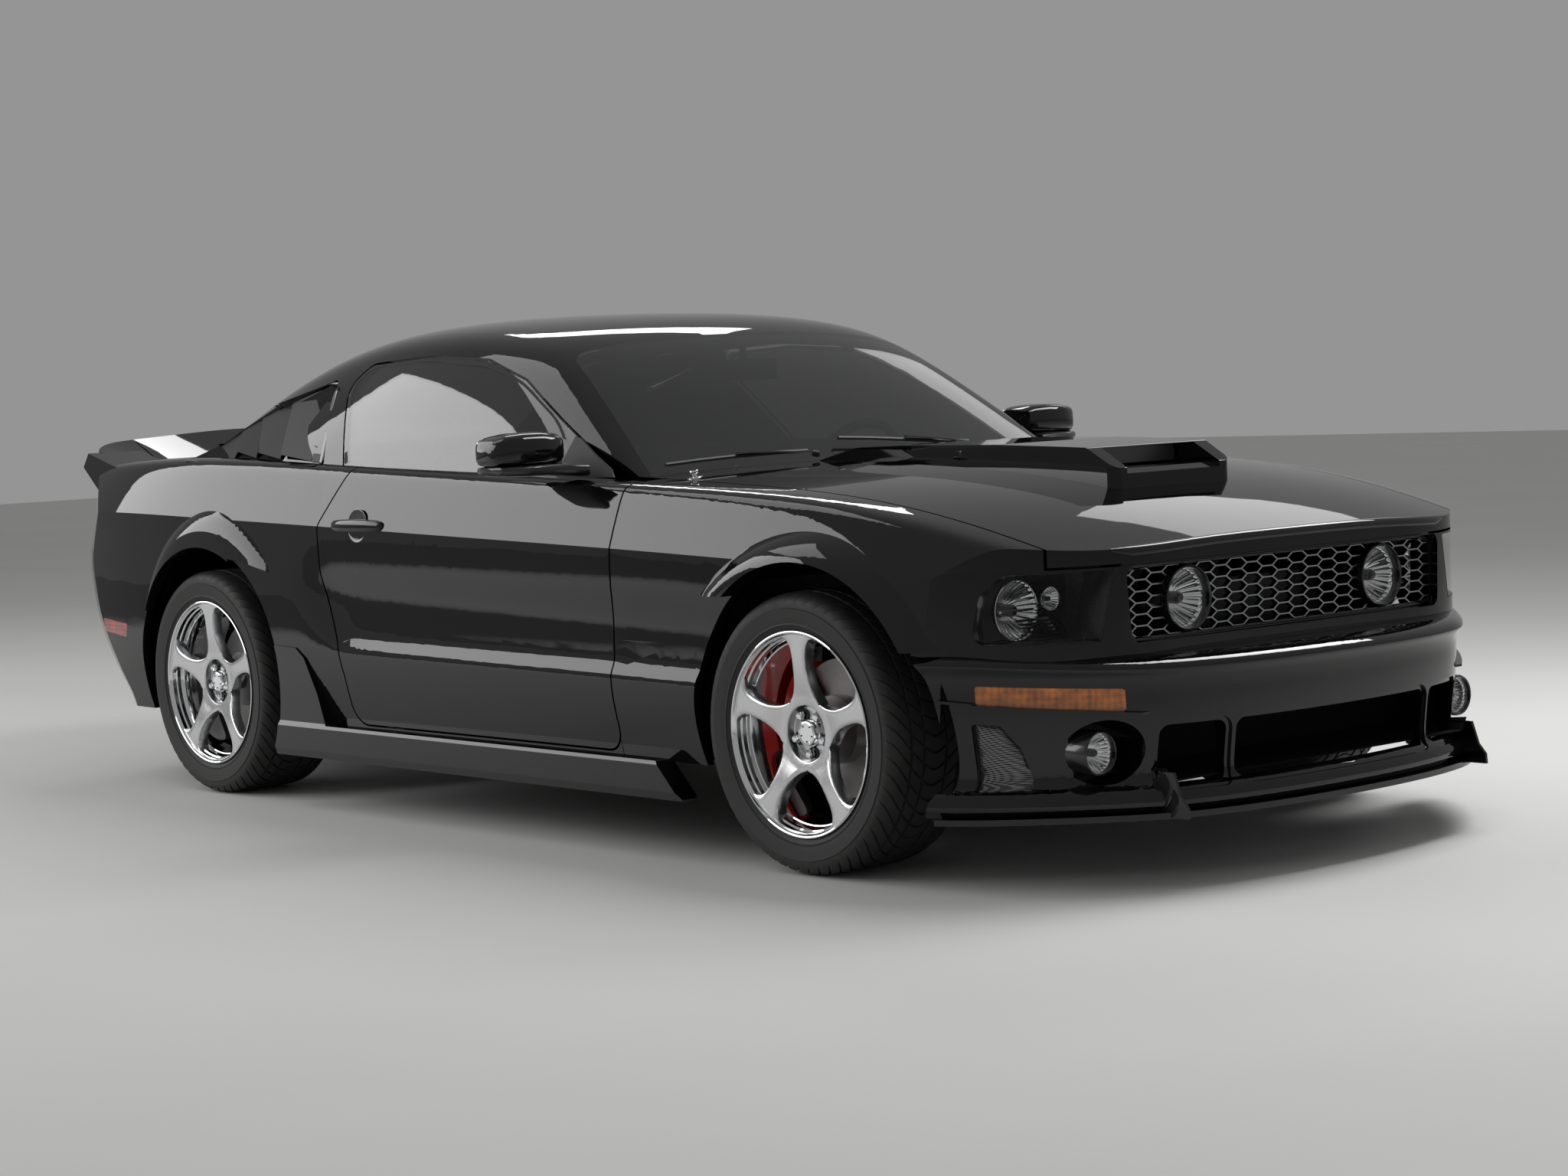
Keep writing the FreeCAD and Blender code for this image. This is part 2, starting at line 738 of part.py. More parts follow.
nose_shell = nose_shell.cut(grille_prism(0.0, front_axle_x, nose_x))
nose_shell = nose_shell.cut(headlamp_hole).cut(mirrored(headlamp_hole))
grille_surround = grille_prism(grille_rim, grille_front_x - grille_depth, grille_front_x + grille_rim)
grille_surround = grille_surround.cut(grille_prism(0.0, grille_front_x - grille_depth - overrun, nose_x))
nose_panel = nose_shell.fuse(grille_surround.common(nose_core))
add("nose_panel", one(nose_panel.cut(bumper_zone).cut(bumper_seat)))

round_lamp_y = half_width * 0.373
round_lamp_z = level(0.6545)


def honeycomb(x0, x1):
    """Plate of hexagon cells, left whole where the round lamps stand."""
    outline_wire = rounded([Vector(x0, y, z) for y, z in grille_corners], grille_corner)
    inner_face = Part.Face(Part.Face(outline_wire).makeOffset2D(-cell_wall * 2).Wires[0])
    pitch_y = cell_size + cell_wall
    pitch_z = pitch_y * math.sqrt(3) / 2
    rows = int(grille_top_z - grille_foot_z) // int(pitch_z) + 1
    columns = int(grille_half_top / pitch_y) + 1
    middle_z = (grille_top_z + grille_foot_z) / 2
    holes = []
    for row in range(-rows, rows + 1):
        for column in range(-columns, columns + 1):
            y = (column + (row % 2) / 2) * pitch_y
            z = middle_z + row * pitch_z
            if math.hypot(abs(y) - round_lamp_y, z - round_lamp_z) < round_lamp_radius + cell_size * 0.75:
                continue
            ring = []
            for k in range(6):
                angle = math.radians(60 * k + 30)
                reach = cell_size / math.sqrt(3)
                ring.append(Vector(x0, y + reach * math.cos(angle), z + reach * math.sin(angle)))
            inside = inner_face.BoundBox
            if all(inside.YMin < p.y < inside.YMax and inside.ZMin < p.z < inside.ZMax for p in ring):
                holes.append(Part.makePolygon(ring + ring[:1]))
    plate = Part.Face([outline_wire] + holes)
    return plate.extrude(Vector(x1 - x0, 0, 0))


lamp_seat = rod_x(-round_lamp_y, round_lamp_z, round_lamp_radius, grille_front_x - overrun * 2,
                  grille_front_x + overrun)
mesh = honeycomb(grille_front_x - cell_depth, grille_front_x)
mesh = mesh.cut(lamp_seat).cut(mirrored(lamp_seat))
add("grille", one(mesh))
lamp_bowl = rod_x(-round_lamp_y, round_lamp_z, round_lamp_radius - glass_gap,
                  grille_front_x - round_lamp_depth, grille_front_x + round_lamp_proud)
add("round_lamps", pair(lamp_bowl))

# Cowl and bulkhead
cowl_rear_x = place(0.40)
cowl_foot_z = level(0.86)
cowl_zone = box(cowl_rear_x, hood_rear_x + hood_bow, -hood_half_width, hood_half_width,
                cowl_foot_z, roof_height)
cowl = one(rest.common(cowl_zone))
bulkhead = box(cowl_cut_x, cowl_cut_x + bulkhead_wall, -hood_half_width, hood_half_width,
               sill_height + panel_wall, roof_height).common(hollow)
add("bulkhead_cowl", one(cowl.fuse(bulkhead)))

# Rear bumper
rear_bumper_z = level(0.565)
rear_bumper_front_x = place(1.429)
rear_bumper_zone = box(tail_x - overrun, rear_bumper_front_x, -half_width - overrun, half_width + overrun,
                       sill_height - overrun, rear_bumper_z)
plate_holes = [rod_x(side * plate_spacing / 2, plate_hole_z, plate_hole_radius, tail_x - overrun,
                     tail_x + plate_hole_depth) for side in (-1, 1)]
add("rear_bumper", one(rest.common(rear_bumper_zone).cut(plate_holes)))

# Body sides: sills, pillars, quarters and the tail panel
side_zone = box(tail_x - overrun, fender_rear_x - panel_gap / 2, -half_width - overrun, half_width + overrun,
                0, roof_height)
sides = rest.common(side_zone).cut(rear_bumper_zone).cut(cowl_zone)
floor_half = jamb_y
floor_zone = box(tail_x - overrun, fender_rear_x, -floor_half, floor_half, 0, sill_height + panel_wall)
hump_wall = panel_wall / 2
hump_half = rear_well_y - well_wall
hump = box(rear_axle_x - hump_rear, rear_axle_x + hump_front, -hump_half, hump_half, sill_height, hump_top_z)
hump_core = box(rear_axle_x - hump_rear + hump_wall, rear_axle_x + hump_front - hump_wall,
                -hump_half + hump_wall, hump_half - hump_wall, 0, hump_top_z - hump_wall)
axle_slot = box(rear_axle_x - axle_tube_radius - axle_travel, rear_axle_x + axle_tube_radius + axle_travel,
                -well_lip_y, well_lip_y, 0, tyre_radius + axle_tube_radius + axle_travel)
add("floor_pan", one(sides.common(floor_zone).cut(hump_core).fuse(hump.cut(hump_core)).cut(axle_slot)))
add("body_sides", one(sides.cut(floor_zone).cut(axle_slot)))

# Roof with its pillars
door_window = side_window(door_glass_shares, glass_corner, 0.0)
door_window_opening = side_window(door_glass_shares, glass_corner, panel_gap)
quarter_window = side_window(quarter_shares, glass_corner * 0.4, 0.0)
windscreen_plan = plan_window(windscreen_shares, 0.0)
rear_window_plan = plan_window(rear_window_shares, 0.0)
roof = house.cut(house_core).cut(outer)
panes = house.cut(house_glass)
for opening in (door_window_opening, quarter_window):
    roof = roof.cut(opening).cut(mirrored(opening))
roof = roof.cut(plan_window(windscreen_shares, glass_gap)).cut(plan_window(rear_window_shares, glass_gap))
roof = roof.cut(door_opening).cut(mirrored(door_opening))
add("roof_panel", one(roof))
add("windshield", one(panes.common(windscreen_plan).cut(outer)))
add("rear_window", one(panes.common(rear_window_plan).cut(outer)))
quarter = one(panes.common(side_window(quarter_shares, glass_corner * 0.4, -glass_gap)).cut(outer))
add("quarter_louvres", pair(quarter))

# Doors
door_shell = outer.common(door_prism(0.0)).cut(house_core)
add("door_right", one(door_shell))
add("door_left", mirrored(one(door_shell)))
pane = one(panes.common(door_window).cut(outer))
add("door_glass_right", pane)
add("door_glass_left", mirrored(pane))


# Front bumper: a shell with its bays, lamp seats, corner vents and lamp fins
wide = half_width + overrun


def bumper_side(shares):
    return [(front_axle_x + a * front_overhang, level(z)) for a, z in shares]


bumper_core = bumper_skin(bumper_core_shares, -bumper_wall)
bumper_core.translate(Vector(0, 0, -bumper_wall))
bumper = bumper_block.cut(bumper_core)
bumper_back_x = front_axle_x + front_overhang * 0.68
bumper_ends_x = front_axle_x + front_overhang * 0.60
for back_x, share in ((bumper_ends_x, 0.84), (bumper_back_x, 0.46)):
    bumper = bumper.cut(box(front_axle_x - front_overhang, back_x, -half_width * share, half_width * share,
                            0, roof_height))
fog_x = front_axle_x + front_overhang * 0.735
fog_y = half_width * 0.694
fog_z = level(0.319)
fog_cup_y = fog_y - fog_radius * 0.32
cup = rod_x(-fog_cup_y, fog_z, fog_cup_radius + bumper_wall / 3, fog_x - bumper_wall, nose_x)
cup = cup.common(bumper_block)
bumper = bumper.fuse(cup).fuse(mirrored(cup))
for well in wells:
    bumper = bumper.cut(well)
bay_top_z = level(0.376)
bay_foot_z = level(0.236)
# Edges of the three bays, as half-width shares, with the posts between them
bay_edge_shares = [(-0.566, -0.392), (-0.362, 0.362), (0.392, 0.566)]


def bay_prism(left, right, grow):
    corners = [(left - grow, bay_foot_z - grow), (right + grow, bay_foot_z - grow),
               (right + grow, bay_top_z + grow), (left - grow, bay_top_z + grow)]
    corners = [Vector(front_axle_x + front_overhang / 2, y, z) for y, z in corners]
    return Part.Face(rounded(corners, bay_corner + grow)).extrude(Vector(front_overhang, 0, 0))


rim_skin = bumper_skin(bumper_row_shares, -bay_rim_depth)
for left, right in bay_edge_shares:
    rim = bay_prism(left * half_width, right * half_width, bay_rim).cut(rim_skin)
    bumper = bumper.cut(rim).cut(bay_prism(left * half_width, right * half_width, 0.0))
bumper = bumper.cut(rod_x(-fog_cup_y, fog_z, fog_cup_radius, fog_x, nose_x))
bumper = bumper.cut(rod_x(fog_cup_y, fog_z, fog_cup_radius, fog_x, nose_x))
turn_shares = [(0.577, 0.441), (0.833, 0.414), (0.833, 0.466), (0.577, 0.484)]
turn_zone = side_prism(bumper_side(turn_shares), turn_corner, -wide, -half_width * 0.6)
turn = bumper_block.cut(bumper_skin(bumper_row_shares, -turn_wall)).common(turn_zone)
vent_shares = [(0.562, 0.236), (0.672, 0.236), (0.652, 0.336), (0.620, 0.390), (0.565, 0.396)]
vent_zone = side_prism(bumper_side(vent_shares), turn_corner, -wide, -half_width * 0.6)
vent = vent_zone.cut(bumper_skin(bumper_row_shares, -vent_depth))
fin_shares = [(0.500, 0.447), (0.866, 0.404), (0.866, 0.410), (0.500, 0.454)]
fin = side_prism(bumper_side(fin_shares), 0.0, -wide, -half_width * 0.55)
fin = fin.common(bumper_skin(bumper_row_shares, fin_reach)).cut(bumper_core).cut(wells[0])
for shape in (turn_zone, vent):
    bumper = bumper.cut(shape).cut(mirrored(shape))
bumper = bumper.fuse(fin.cut(turn_zone)).fuse(mirrored(fin.cut(turn_zone)))
add("front_bumper", one(bumper))
add("turn_lamps", pair(one(turn)))
fog_lamp = rod_x(-fog_y, fog_z, fog_radius, fog_x, fog_x + fog_depth)
fog_glass = rod_x(-fog_y, fog_z, fog_radius - glass_wall, fog_x, fog_x + fog_depth + glass_wall)
fog_lamp = fog_lamp.fuse(fog_glass)
add("fog_lamps", pair(one(fog_lamp)))

# Chin spoiler: a plate under the bumper, with a fence at each end of its middle
chin_top_z = level(bumper_row_shares[0][0]) - seat_gap
chin_foot_z = chin_top_z - splitter_wall
chin_rows = [(0.0, 0.0, 0.0)] * 2 + [(1.0, 0.0, 0.0)] * 2
chin = bumper_skin(chin_rows, splitter_reach).common(
    box(front_axle_x, nose_x + overrun, -wide, wide, chin_foot_z, chin_top_z))
chin = chin.cut(bumper_skin(chin_rows, -splitter_band))
chin = chin.cut(box(front_axle_x, front_axle_x + front_overhang / 2, -wide, wide, 0, roof_height))
fence_y = half_width * 0.575
fence_shares = [(0.850, 0.165), (0.970, 0.165), (0.968, 0.19), (0.945, 0.215), (0.925, 0.27), (0.850, 0.27)]
fence = side_prism(bumper_side(fence_shares), 0.0, -fence_y - fence_wall, -fence_y)
fence = fence.cut(bumper_block)
chin = chin.fuse(one(fence)).fuse(mirrored(one(fence)))
add("chin_spoiler", one(chin))

# Side skirts between the wheel arches, which climb in front of the rear wheel
skirt_shares = [(0.150, 0.154), (0.186, 0.254), (0.745, 0.254), (0.758, 0.345), (0.781, 0.450),
                (0.797, 0.480), (0.860, 0.484), (0.870, 0.154)]
skirt_back_y = -half_width + skirt_wall
skirt_band = [(skirt_back_y, 0), (skirt_back_y, level(0.5)), (-half_width - skirt_reach / 2, level(0.5)),
              (-half_width - skirt_reach / 2, skirt_top_z),
              (-half_width - skirt_reach, skirt_top_z - skirt_reach),
              (-half_width - skirt_reach, skirt_foot_z), (-half_width, ground_clearance), (-half_width, 0)]
corners = [Vector(rear_axle_x, y, z) for y, z in skirt_band]
skirt = Part.Face(Part.makePolygon(corners + corners[:1])).extrude(Vector(wheelbase, 0, 0))
skirt = skirt.common(side_prism([(place(a), level(z)) for a, z in skirt_shares], turn_corner, -wide, 0))
skirt = skirt.cut(outer)
for well in wells:
    skirt = skirt.cut(well)
add("side_skirts", pair(one(skirt)))

# Flares round the wheel arches: a dome round each arch, trimmed to the opening.
# Centre ahead of the axle, centre height, half length and half height, as shares of the arch radius
flare_shares = {"front": (0.024, 0.968, 1.162, 1.019), "rear": (0.206, 1.017, 1.060, 1.056)}
# Sections from the side of the car outwards: reach and size
flare_section_shares = {"front": [(-3.4, 1.02), (-2.4, 1.0), (-1.0, 0.957), (0.0, 0.914), (0.7, 0.867),
                                  (1.0, 0.80)],
                        "rear": [(-2.4, 1.07), (-0.4, 1.0), (0.3, 0.95), (0.8, 0.87), (1.0, 0.74)]}


def flare_dome(axle_x, name):
    shift, lift, long, tall = [share * arch_radius for share in flare_shares[name]]
    rings = []
    for reach, size in flare_section_shares[name]:
        centre = Vector(axle_x + shift, -half_width - flare_reach * reach, lift)
        oval = Part.Ellipse(centre + Vector(long * size, 0, 0), centre + Vector(0, 0, tall * size), centre)
        rings.append(Part.Wire([oval.toShape()]))
    return Part.makeLoft(rings, True, False)


flares = []
flare_foot_z = level(0.565)
flare_tail_z = level(0.682)
tip_shares = [(0.918, 0.740), (0.8835, 0.730), (0.8526, 0.708), (0.820, 0.678), (0.78, 0.60), (0.78, 0),
              (0.98, 0)]
flare_tip = side_prism([(place(a), level(z)) for a, z in tip_shares], 0.0, -wide, 0)
for axle_x, name in ((front_axle_x, "front"), (rear_axle_x, "rear")):
    flare = flare_dome(axle_x, name)
    flare = flare.cut(rod_y(axle_x + arch_shift, tyre_radius, arch_radius, -wide, 0)).cut(outer)
    flare = flare.cut(box(tail_x, nose_x, -wide, 0, -wide, flare_foot_z))
    if name == "rear":
        flare = flare.cut(flare_tip)
    else:
        flare = flare.cut(bumper_block).cut(box(tail_x, front_axle_x, -wide, 0, 0, flare_tail_z))
    flares.append(one(flare))
    flares.append(mirrored(flares[-1]))
add("arch_flares", Part.makeCompound(flares))

# Scoop on the hood, with a mouth in its sloping front
scoop_front_x = front_axle_x + front_overhang * 0.426
scoop_rear_x = place(0.245)
scoop_half = half_width * 0.225
scoop_mouth_half = half_width * 0.178
scoop_plan = [(scoop_front_x, -scoop_half), (scoop_front_x, scoop_half), (scoop_rear_x, scoop_half * 1.2),
              (scoop_rear_x, -scoop_half * 1.2)]
scoop = plan_prism(scoop_plan, grille_corner, level(0.8), level(1.3))
# Top line of the scoop from the side: station and height
scoop_top_shares = [(-0.426, 0.955), (-0.330, 1.018), (-0.20, 1.030), (0.0, 1.046), (0.12, 1.052),
                    (0.18, 1.045), (0.235, 0.985)]
scoop_side = [(scoop_rear_x - overrun, level(0.8)), (scoop_front_x + overrun, level(0.8)),
              (scoop_front_x + overrun, level(0.90))]
scoop_side += [(place(a), level(z)) for a, z in scoop_top_shares]
scoop = scoop.common(side_prism(scoop_side, scoop_corner, -half_width, half_width)).cut(outer)
mouth_shares = [(-0.46, 0.925), (-0.46, 1.03), (-0.320, 1.008), (-0.20, 1.008), (-0.20, 0.955),
                (-0.36, 0.955), (-0.40, 0.952)]
mouth = side_prism([(place(a), level(z)) for a, z in mouth_shares], 0.0, -scoop_mouth_half, scoop_mouth_half)
add("hood_scoop", one(scoop.cut(mouth)))

# Spoiler: its middle on the lid and its ends on the rear corners.
# Half width, place of the rear edge as a share of the overhang, and its height
spoiler_shares = [(0.870, 0.740, 1.150), (0.80, 0.820, 1.215), (0.66, 0.885, 1.245), (0.36, 0.925, 1.280),
                  (0.0, 0.935, 1.290)]
spoiler_foot_z = level(0.98)


def spoiler_section(share_y, share_x, height):
    x = rear_axle_x - share_x * rear_overhang
    edge_z = level(height)
    low_z = level(0.90)
    step_z = spoiler_foot_z + spoiler_wall
    corners = [(x, edge_z), (x + spoiler_chord, step_z), (x + spoiler_chord, low_z),
               (x + spoiler_wall * 2, low_z), (x + spoiler_wall, step_z), (x, edge_z - spoiler_wall / 2)]
    points = [Vector(a, -share_y * half_width, z) for a, z in corners]
    return Part.makePolygon(points + points[:1])


sections = [spoiler_section(*row) for row in spoiler_shares]
sections += [mirrored(wire) for wire in reversed(sections[:-1])]
blade = Part.makeLoft(sections, True, False).cut(outer)
add("spoiler", one(blade.common(box(tail_x - overrun, 0, -lid_half_width, lid_half_width, 0, roof_height))))
end_cap = blade.common(box(tail_x - overrun, 0, -wide, -lid_half_width - panel_gap, 0, roof_height))
drop_shares = [(0.560, 1.03), (0.750, 1.16), (0.785, 1.05), (0.655, 0.905)]
drop = side_prism([(rear_axle_x - rear_overhang * a, level(z)) for a, z in drop_shares], 0.0,
                  -half_width * 0.905, -half_width * 0.70).cut(outer)
add("spoiler_ends", pair(one(end_cap.fuse(drop))))

# Tail lamps in the tail panel and side markers in the quarters
tail_lamp_foot_z = level(0.70)
tail_lamp_top_z = lid_foot_z - panel_gap * 2
tail_lamp_zone = box(tail_x - overrun, rear_axle_x - rear_overhang * 0.75, -half_width * 0.80,
                     -half_width * 0.36, tail_lamp_foot_z, tail_lamp_top_z)
tail_core = end_prism(panel_wall)
tail_lamp = one(outer.common(tail_lamp_zone).cut(tail_core))
marker_shares = [(0.589, 0.531), (0.425, 0.518), (0.435, 0.475), (0.580, 0.489)]
marker_zone = side_prism([(rear_axle_x - rear_overhang * a, level(z)) for a, z in marker_shares],
                         turn_corner, -wide, -half_width * 0.8)
marker = one(outer.common(marker_zone).cut(body_solid(panel_wall)))
add("tail_lamps", Part.makeCompound([tail_lamp, mirrored(tail_lamp), marker, mirrored(marker)]))
for zone in (tail_lamp_zone, marker_zone):
    for name in ("body_sides", "rear_bumper"):
        sub_parts[name] = one(sub_parts[name].cut(zone).cut(mirrored(zone)))


# Wheels: rim with spokes and lugs, brake disc and tyre, turned about Y
def turned(points, x):
    corners = [Vector(x, y, tyre_radius + r) for r, y in points + points[:1]]
    return Part.Face(Part.makePolygon(corners)).revolve(Vector(x, 0, tyre_radius), Vector(0, 1, 0), 360)


def wheel_rim(x):
    face_y = -rim_face_half_track
    back_y = face_y + rim_width
    seat = rim_radius - rim_wall * 1.6
    drop = rim_radius - rim_wall * 4
    barrel = [(rim_radius, face_y), (rim_radius, face_y + rim_wall), (seat, face_y + rim_wall * 2),
              (seat, face_y + rim_width * 0.30), (drop, face_y + rim_width * 0.38),
              (drop, face_y + rim_width * 0.62), (seat, face_y + rim_width * 0.72),
              (seat, back_y - rim_wall * 2), (rim_radius, back_y - rim_wall), (rim_radius, back_y)]
    inner = [(r - rim_wall, y) for r, y in reversed(barrel)]
    rim = turned(barrel + inner, x)
    hub_y = face_y + hub_face_depth
    rim = rim.fuse(rod_y(x, tyre_radius, hub_radius, hub_y, hub_y + spoke_depth * 1.6))
    reach = seat - rim_wall * 0.3
    y0 = face_y + rim_wall * 1.5
    side = [(hub_y, 0), (y0, reach), (y0 + spoke_depth, reach), (hub_y + spoke_depth, 0)]
    side = [Vector(x - spoke_root_width, y, tyre_radius + z) for y, z in side]
    root = spoke_root_width / 2
    tip = spoke_tip_width / 2
    front = [(-root, 0), (-tip, reach), (tip, reach), (root, 0)]
    front = [Vector(x + a, face_y, tyre_radius + z) for a, z in front]
    spoke = Part.Face(Part.makePolygon(side + side[:1])).extrude(Vector(spoke_root_width * 2, 0, 0))
    spoke = spoke.common(Part.Face(Part.makePolygon(front + front[:1])).extrude(Vector(0, rim_width, 0)))
    for k in range(spoke_count):
        turn = spoke.copy()
        turn.rotate(Vector(x, 0, tyre_radius), Vector(0, 1, 0), 360.0 / spoke_count * k)
        angle = math.radians(360.0 / spoke_count * (k + 0.5))
        lug_x = x + lug_circle_radius * math.sin(angle)
        lug_z = tyre_radius + lug_circle_radius * math.cos(angle)
        lug = rod_y(lug_x, lug_z, lug_radius, hub_y - lug_length, hub_y + lug_length)
        rim = rim.fuse(turn).fuse(lug)
    return one(rim)


hub_back_y = -rim_face_half_track + hub_face_depth + spoke_depth * 1.6


def brake_disc(x):
    face = hub_back_y + disc_hat_depth
    hat = rod_y(x, tyre_radius, disc_hat_radius, hub_back_y, face + disc_wall)
    disc = hat.fuse(rod_y(x, tyre_radius, disc_radius, face, face + disc_wall)).removeSplitter()
    return disc.cut(rod_y(x, tyre_radius, stub_radius + shaft_gap, hub_back_y, face + disc_wall))


def tyre(x):
    """Tyre round the rim, with its beads against the rim's flanges."""
    half = tyre_width / 2
    middle = -rim_face_half_track + rim_width / 2
    seat = rim_radius - rim_wall * 1.4
    grip = tyre_radius - tyre_shoulder
    side = [(seat, middle - rim_width / 2 + rim_wall * 2), (rim_radius, middle - rim_width / 2 + rim_wall),
            (rim_radius + seat_gap, middle - half * 0.90), (rim_radius + rim_wall, middle - half * 0.96),
            ((rim_radius + grip) / 2, middle - half), (grip, middle - half * 0.975),
            (tyre_radius - tyre_shoulder * 0.38, middle - half * 0.925),
            (tyre_radius - tyre_shoulder * 0.08, middle - half * 0.80), (tyre_radius, middle - half * 0.60)]
    return turned(side + [(r, 2 * middle - y) for r, y in reversed(side)], x)


for name, x in (("front", front_axle_x), ("rear", rear_axle_x)):
    rim = wheel_rim(x)
    disc = brake_disc(x)
    rubber = tyre(x)
    for side, turn in (("right", lambda shape: shape), ("left", mirrored)):
        add("rim_%s_%s" % (name, side), turn(rim))
        add("tyre_%s_%s" % (name, side), turn(rubber))
        add("brake_disc_%s_%s" % (name, side), turn(disc))

# Front knuckles with their stub axles, and the red brake calipers
knuckle_y = hub_back_y + disc_hat_depth + disc_wall + panel_gap
steer_axis_y = -(front_half_track - kingpin_inset)


def knuckle(x):
    body = rod_y(x, tyre_radius, knuckle_radius, knuckle_y, knuckle_y + knuckle_wall)
    stub = rod_y(x, tyre_radius, stub_radius, hub_back_y, knuckle_y + knuckle_wall)
    post = rod_z(x, steer_axis_y, kingpin_radius, tyre_radius - kingpin_reach, tyre_radius + kingpin_reach)
    web_reach = kingpin_reach * 0.75
    web = box(x - kingpin_radius, x + kingpin_radius, knuckle_y, steer_axis_y,
              tyre_radius - web_reach, tyre_radius + web_reach)
    return one(body.fuse(stub).fuse(post).fuse(web))


def caliper(x, side):
    reach = caliper_radius
    middle = x + side * reach * math.cos(math.radians(caliper_lift))
    ring = rod_y(x, tyre_radius, disc_radius + caliper_wall, hub_back_y + disc_hat_depth - caliper_wall,
                 hub_back_y + disc_hat_depth + disc_wall + caliper_wall)
    ring = ring.cut(rod_y(x, tyre_radius, disc_hat_radius + caliper_wall, -wide, 0))
    gap = rod_y(x, tyre_radius, disc_radius + panel_gap, hub_back_y + disc_hat_depth - panel_gap,
                hub_back_y + disc_hat_depth + disc_wall + panel_gap)
    ring = ring.cut(gap)
    wedge = [Vector(x, -wide, tyre_radius)]
    for angle in (-caliper_half_angle, caliper_half_angle):
        turn = math.radians(angle + caliper_lift)
        wedge.append(Vector(x + side * wide * math.cos(turn), -wide, tyre_radius + wide * math.sin(turn)))
    return one(ring.common(Part.Face(Part.makePolygon(wedge + wedge[:1])).extrude(Vector(0, wide, 0))))


front_caliper = caliper(front_axle_x, -1)
rear_caliper = caliper(rear_axle_x, 1)
front_knuckle = knuckle(front_axle_x)
arm = box(front_axle_x - disc_radius - caliper_wall, front_axle_x,
          hub_back_y + disc_hat_depth + disc_wall + caliper_wall, knuckle_y + knuckle_wall,
          tyre_radius - kingpin_radius, tyre_radius + kingpin_radius)
front_knuckle = one(front_knuckle.fuse(arm))
for side, turn in (("right", lambda shape: shape), ("left", mirrored)):
    add("front_knuckle_%s" % side, turn(front_knuckle))
    add("front_caliper_%s" % side, turn(front_caliper))

# Front crossmember with arms, and the rear axle with its calipers
low_z = tyre_radius - kingpin_reach * 0.9
arm_top_z = sill_height - panel_gap / 2
cross = box(front_axle_x - crossmember_half, front_axle_x + crossmember_half, -front_well_y + well_wall,
            front_well_y - well_wall, low_z - crossmember_wall / 2, low_z + crossmember_wall / 2)
cup = rod_z(front_axle_x, steer_axis_y, kingpin_radius + ball_wall, tyre_radius - kingpin_reach - ball_wall,
            arm_top_z)
cup = cup.cut(rod_z(front_axle_x, steer_axis_y, kingpin_radius + seat_gap,
                    tyre_radius - kingpin_reach - seat_gap, tyre_radius))
link = box(front_axle_x - arm_width / 2, front_axle_x + arm_width / 2, steer_axis_y, -front_well_y + overrun,
           tyre_radius - kingpin_reach - ball_wall, arm_top_z)
link = link.cut(rod_z(front_axle_x, steer_axis_y, kingpin_radius + ball_wall, 0, roof_height))
arms = cup.fuse(link)
add("front_suspension", one(cross.fuse(arms).fuse(mirrored(arms))))
tube = rod_y(rear_axle_x, tyre_radius, axle_tube_radius, knuckle_y, -knuckle_y)
case = Part.makeSphere(axle_case_radius, Vector(rear_axle_x, 0, tyre_radius))
plate = rod_y(rear_axle_x, tyre_radius, knuckle_radius, knuckle_y, knuckle_y + knuckle_wall)
rear_arm = box(rear_axle_x, rear_axle_x + disc_radius + caliper_wall,
               hub_back_y + disc_hat_depth + disc_wall + caliper_wall,
               knuckle_y + knuckle_wall, tyre_radius - kingpin_radius, tyre_radius + kingpin_radius)
stub = rod_y(rear_axle_x, tyre_radius, stub_radius, hub_back_y, knuckle_y)
axle = tube.fuse(case)
damper = rod_z(rear_axle_x, -hump_half * 0.6, damper_radius, tyre_radius, hump_top_z - hump_wall)
for piece in (plate, rear_arm, stub, rear_caliper, damper):
    axle = axle.fuse(piece).fuse(mirrored(piece))
add("rear_axle", one(axle))

# Engine, radiator, tank and exhaust
engine_z = low_z + crossmember_wall / 2
add("engine_block", box(front_axle_x - engine_length * 0.55, front_axle_x + engine_length * 0.45,
                        -engine_width / 2, engine_width / 2, engine_z, engine_z + engine_height))
add("radiator", box(bumper_back_x - radiator_wall, bumper_back_x, -half_width * 0.38, half_width * 0.38,
                    sill_height, level(0.68)))
pipe_z = sill_height - exhaust_radius - seat_gap
pipe = rod_x(-half_width * 0.22, pipe_z, exhaust_radius, rear_axle_x + wheelbase * 0.21,
             front_axle_x - wheelbase * 0.16)
add("exhaust_system", pair(pipe))
add("fuel_tank", box(rear_axle_x + wheelbase * 0.06, rear_axle_x + wheelbase * 0.20, -half_width * 0.5,
                     half_width * 0.5, ground_clearance + overrun * 0.3, sill_height))

# Cabin
floor_z = sill_height + panel_wall
seat_x = place(0.63)
seat_y = half_width * 0.40
cushion = box(seat_x - seat_length / 2, seat_x + seat_length / 2,
              -seat_y - seat_width / 2, -seat_y + seat_width / 2, floor_z, floor_z + seat_height)
back = side_prism([(seat_x - seat_length / 2, floor_z + seat_height * 0.6),
                   (seat_x - seat_length * 0.28, floor_z + seat_height * 0.6),
                   (seat_x - seat_length * 0.66, floor_z + seat_height + seat_back),
                   (seat_x - seat_length * 0.86, floor_z + seat_height + seat_back)],
                  0.0, -seat_y - seat_width / 2, -seat_y + seat_width / 2)
add("front_seats", pair(one(cushion.fuse(back))))
rear_seat_x = place(0.865)
bench = box(rear_seat_x - seat_length * 0.3, rear_seat_x + seat_length * 0.45, -rear_well_y + overrun,
            rear_well_y - overrun, floor_z, floor_z + seat_height)
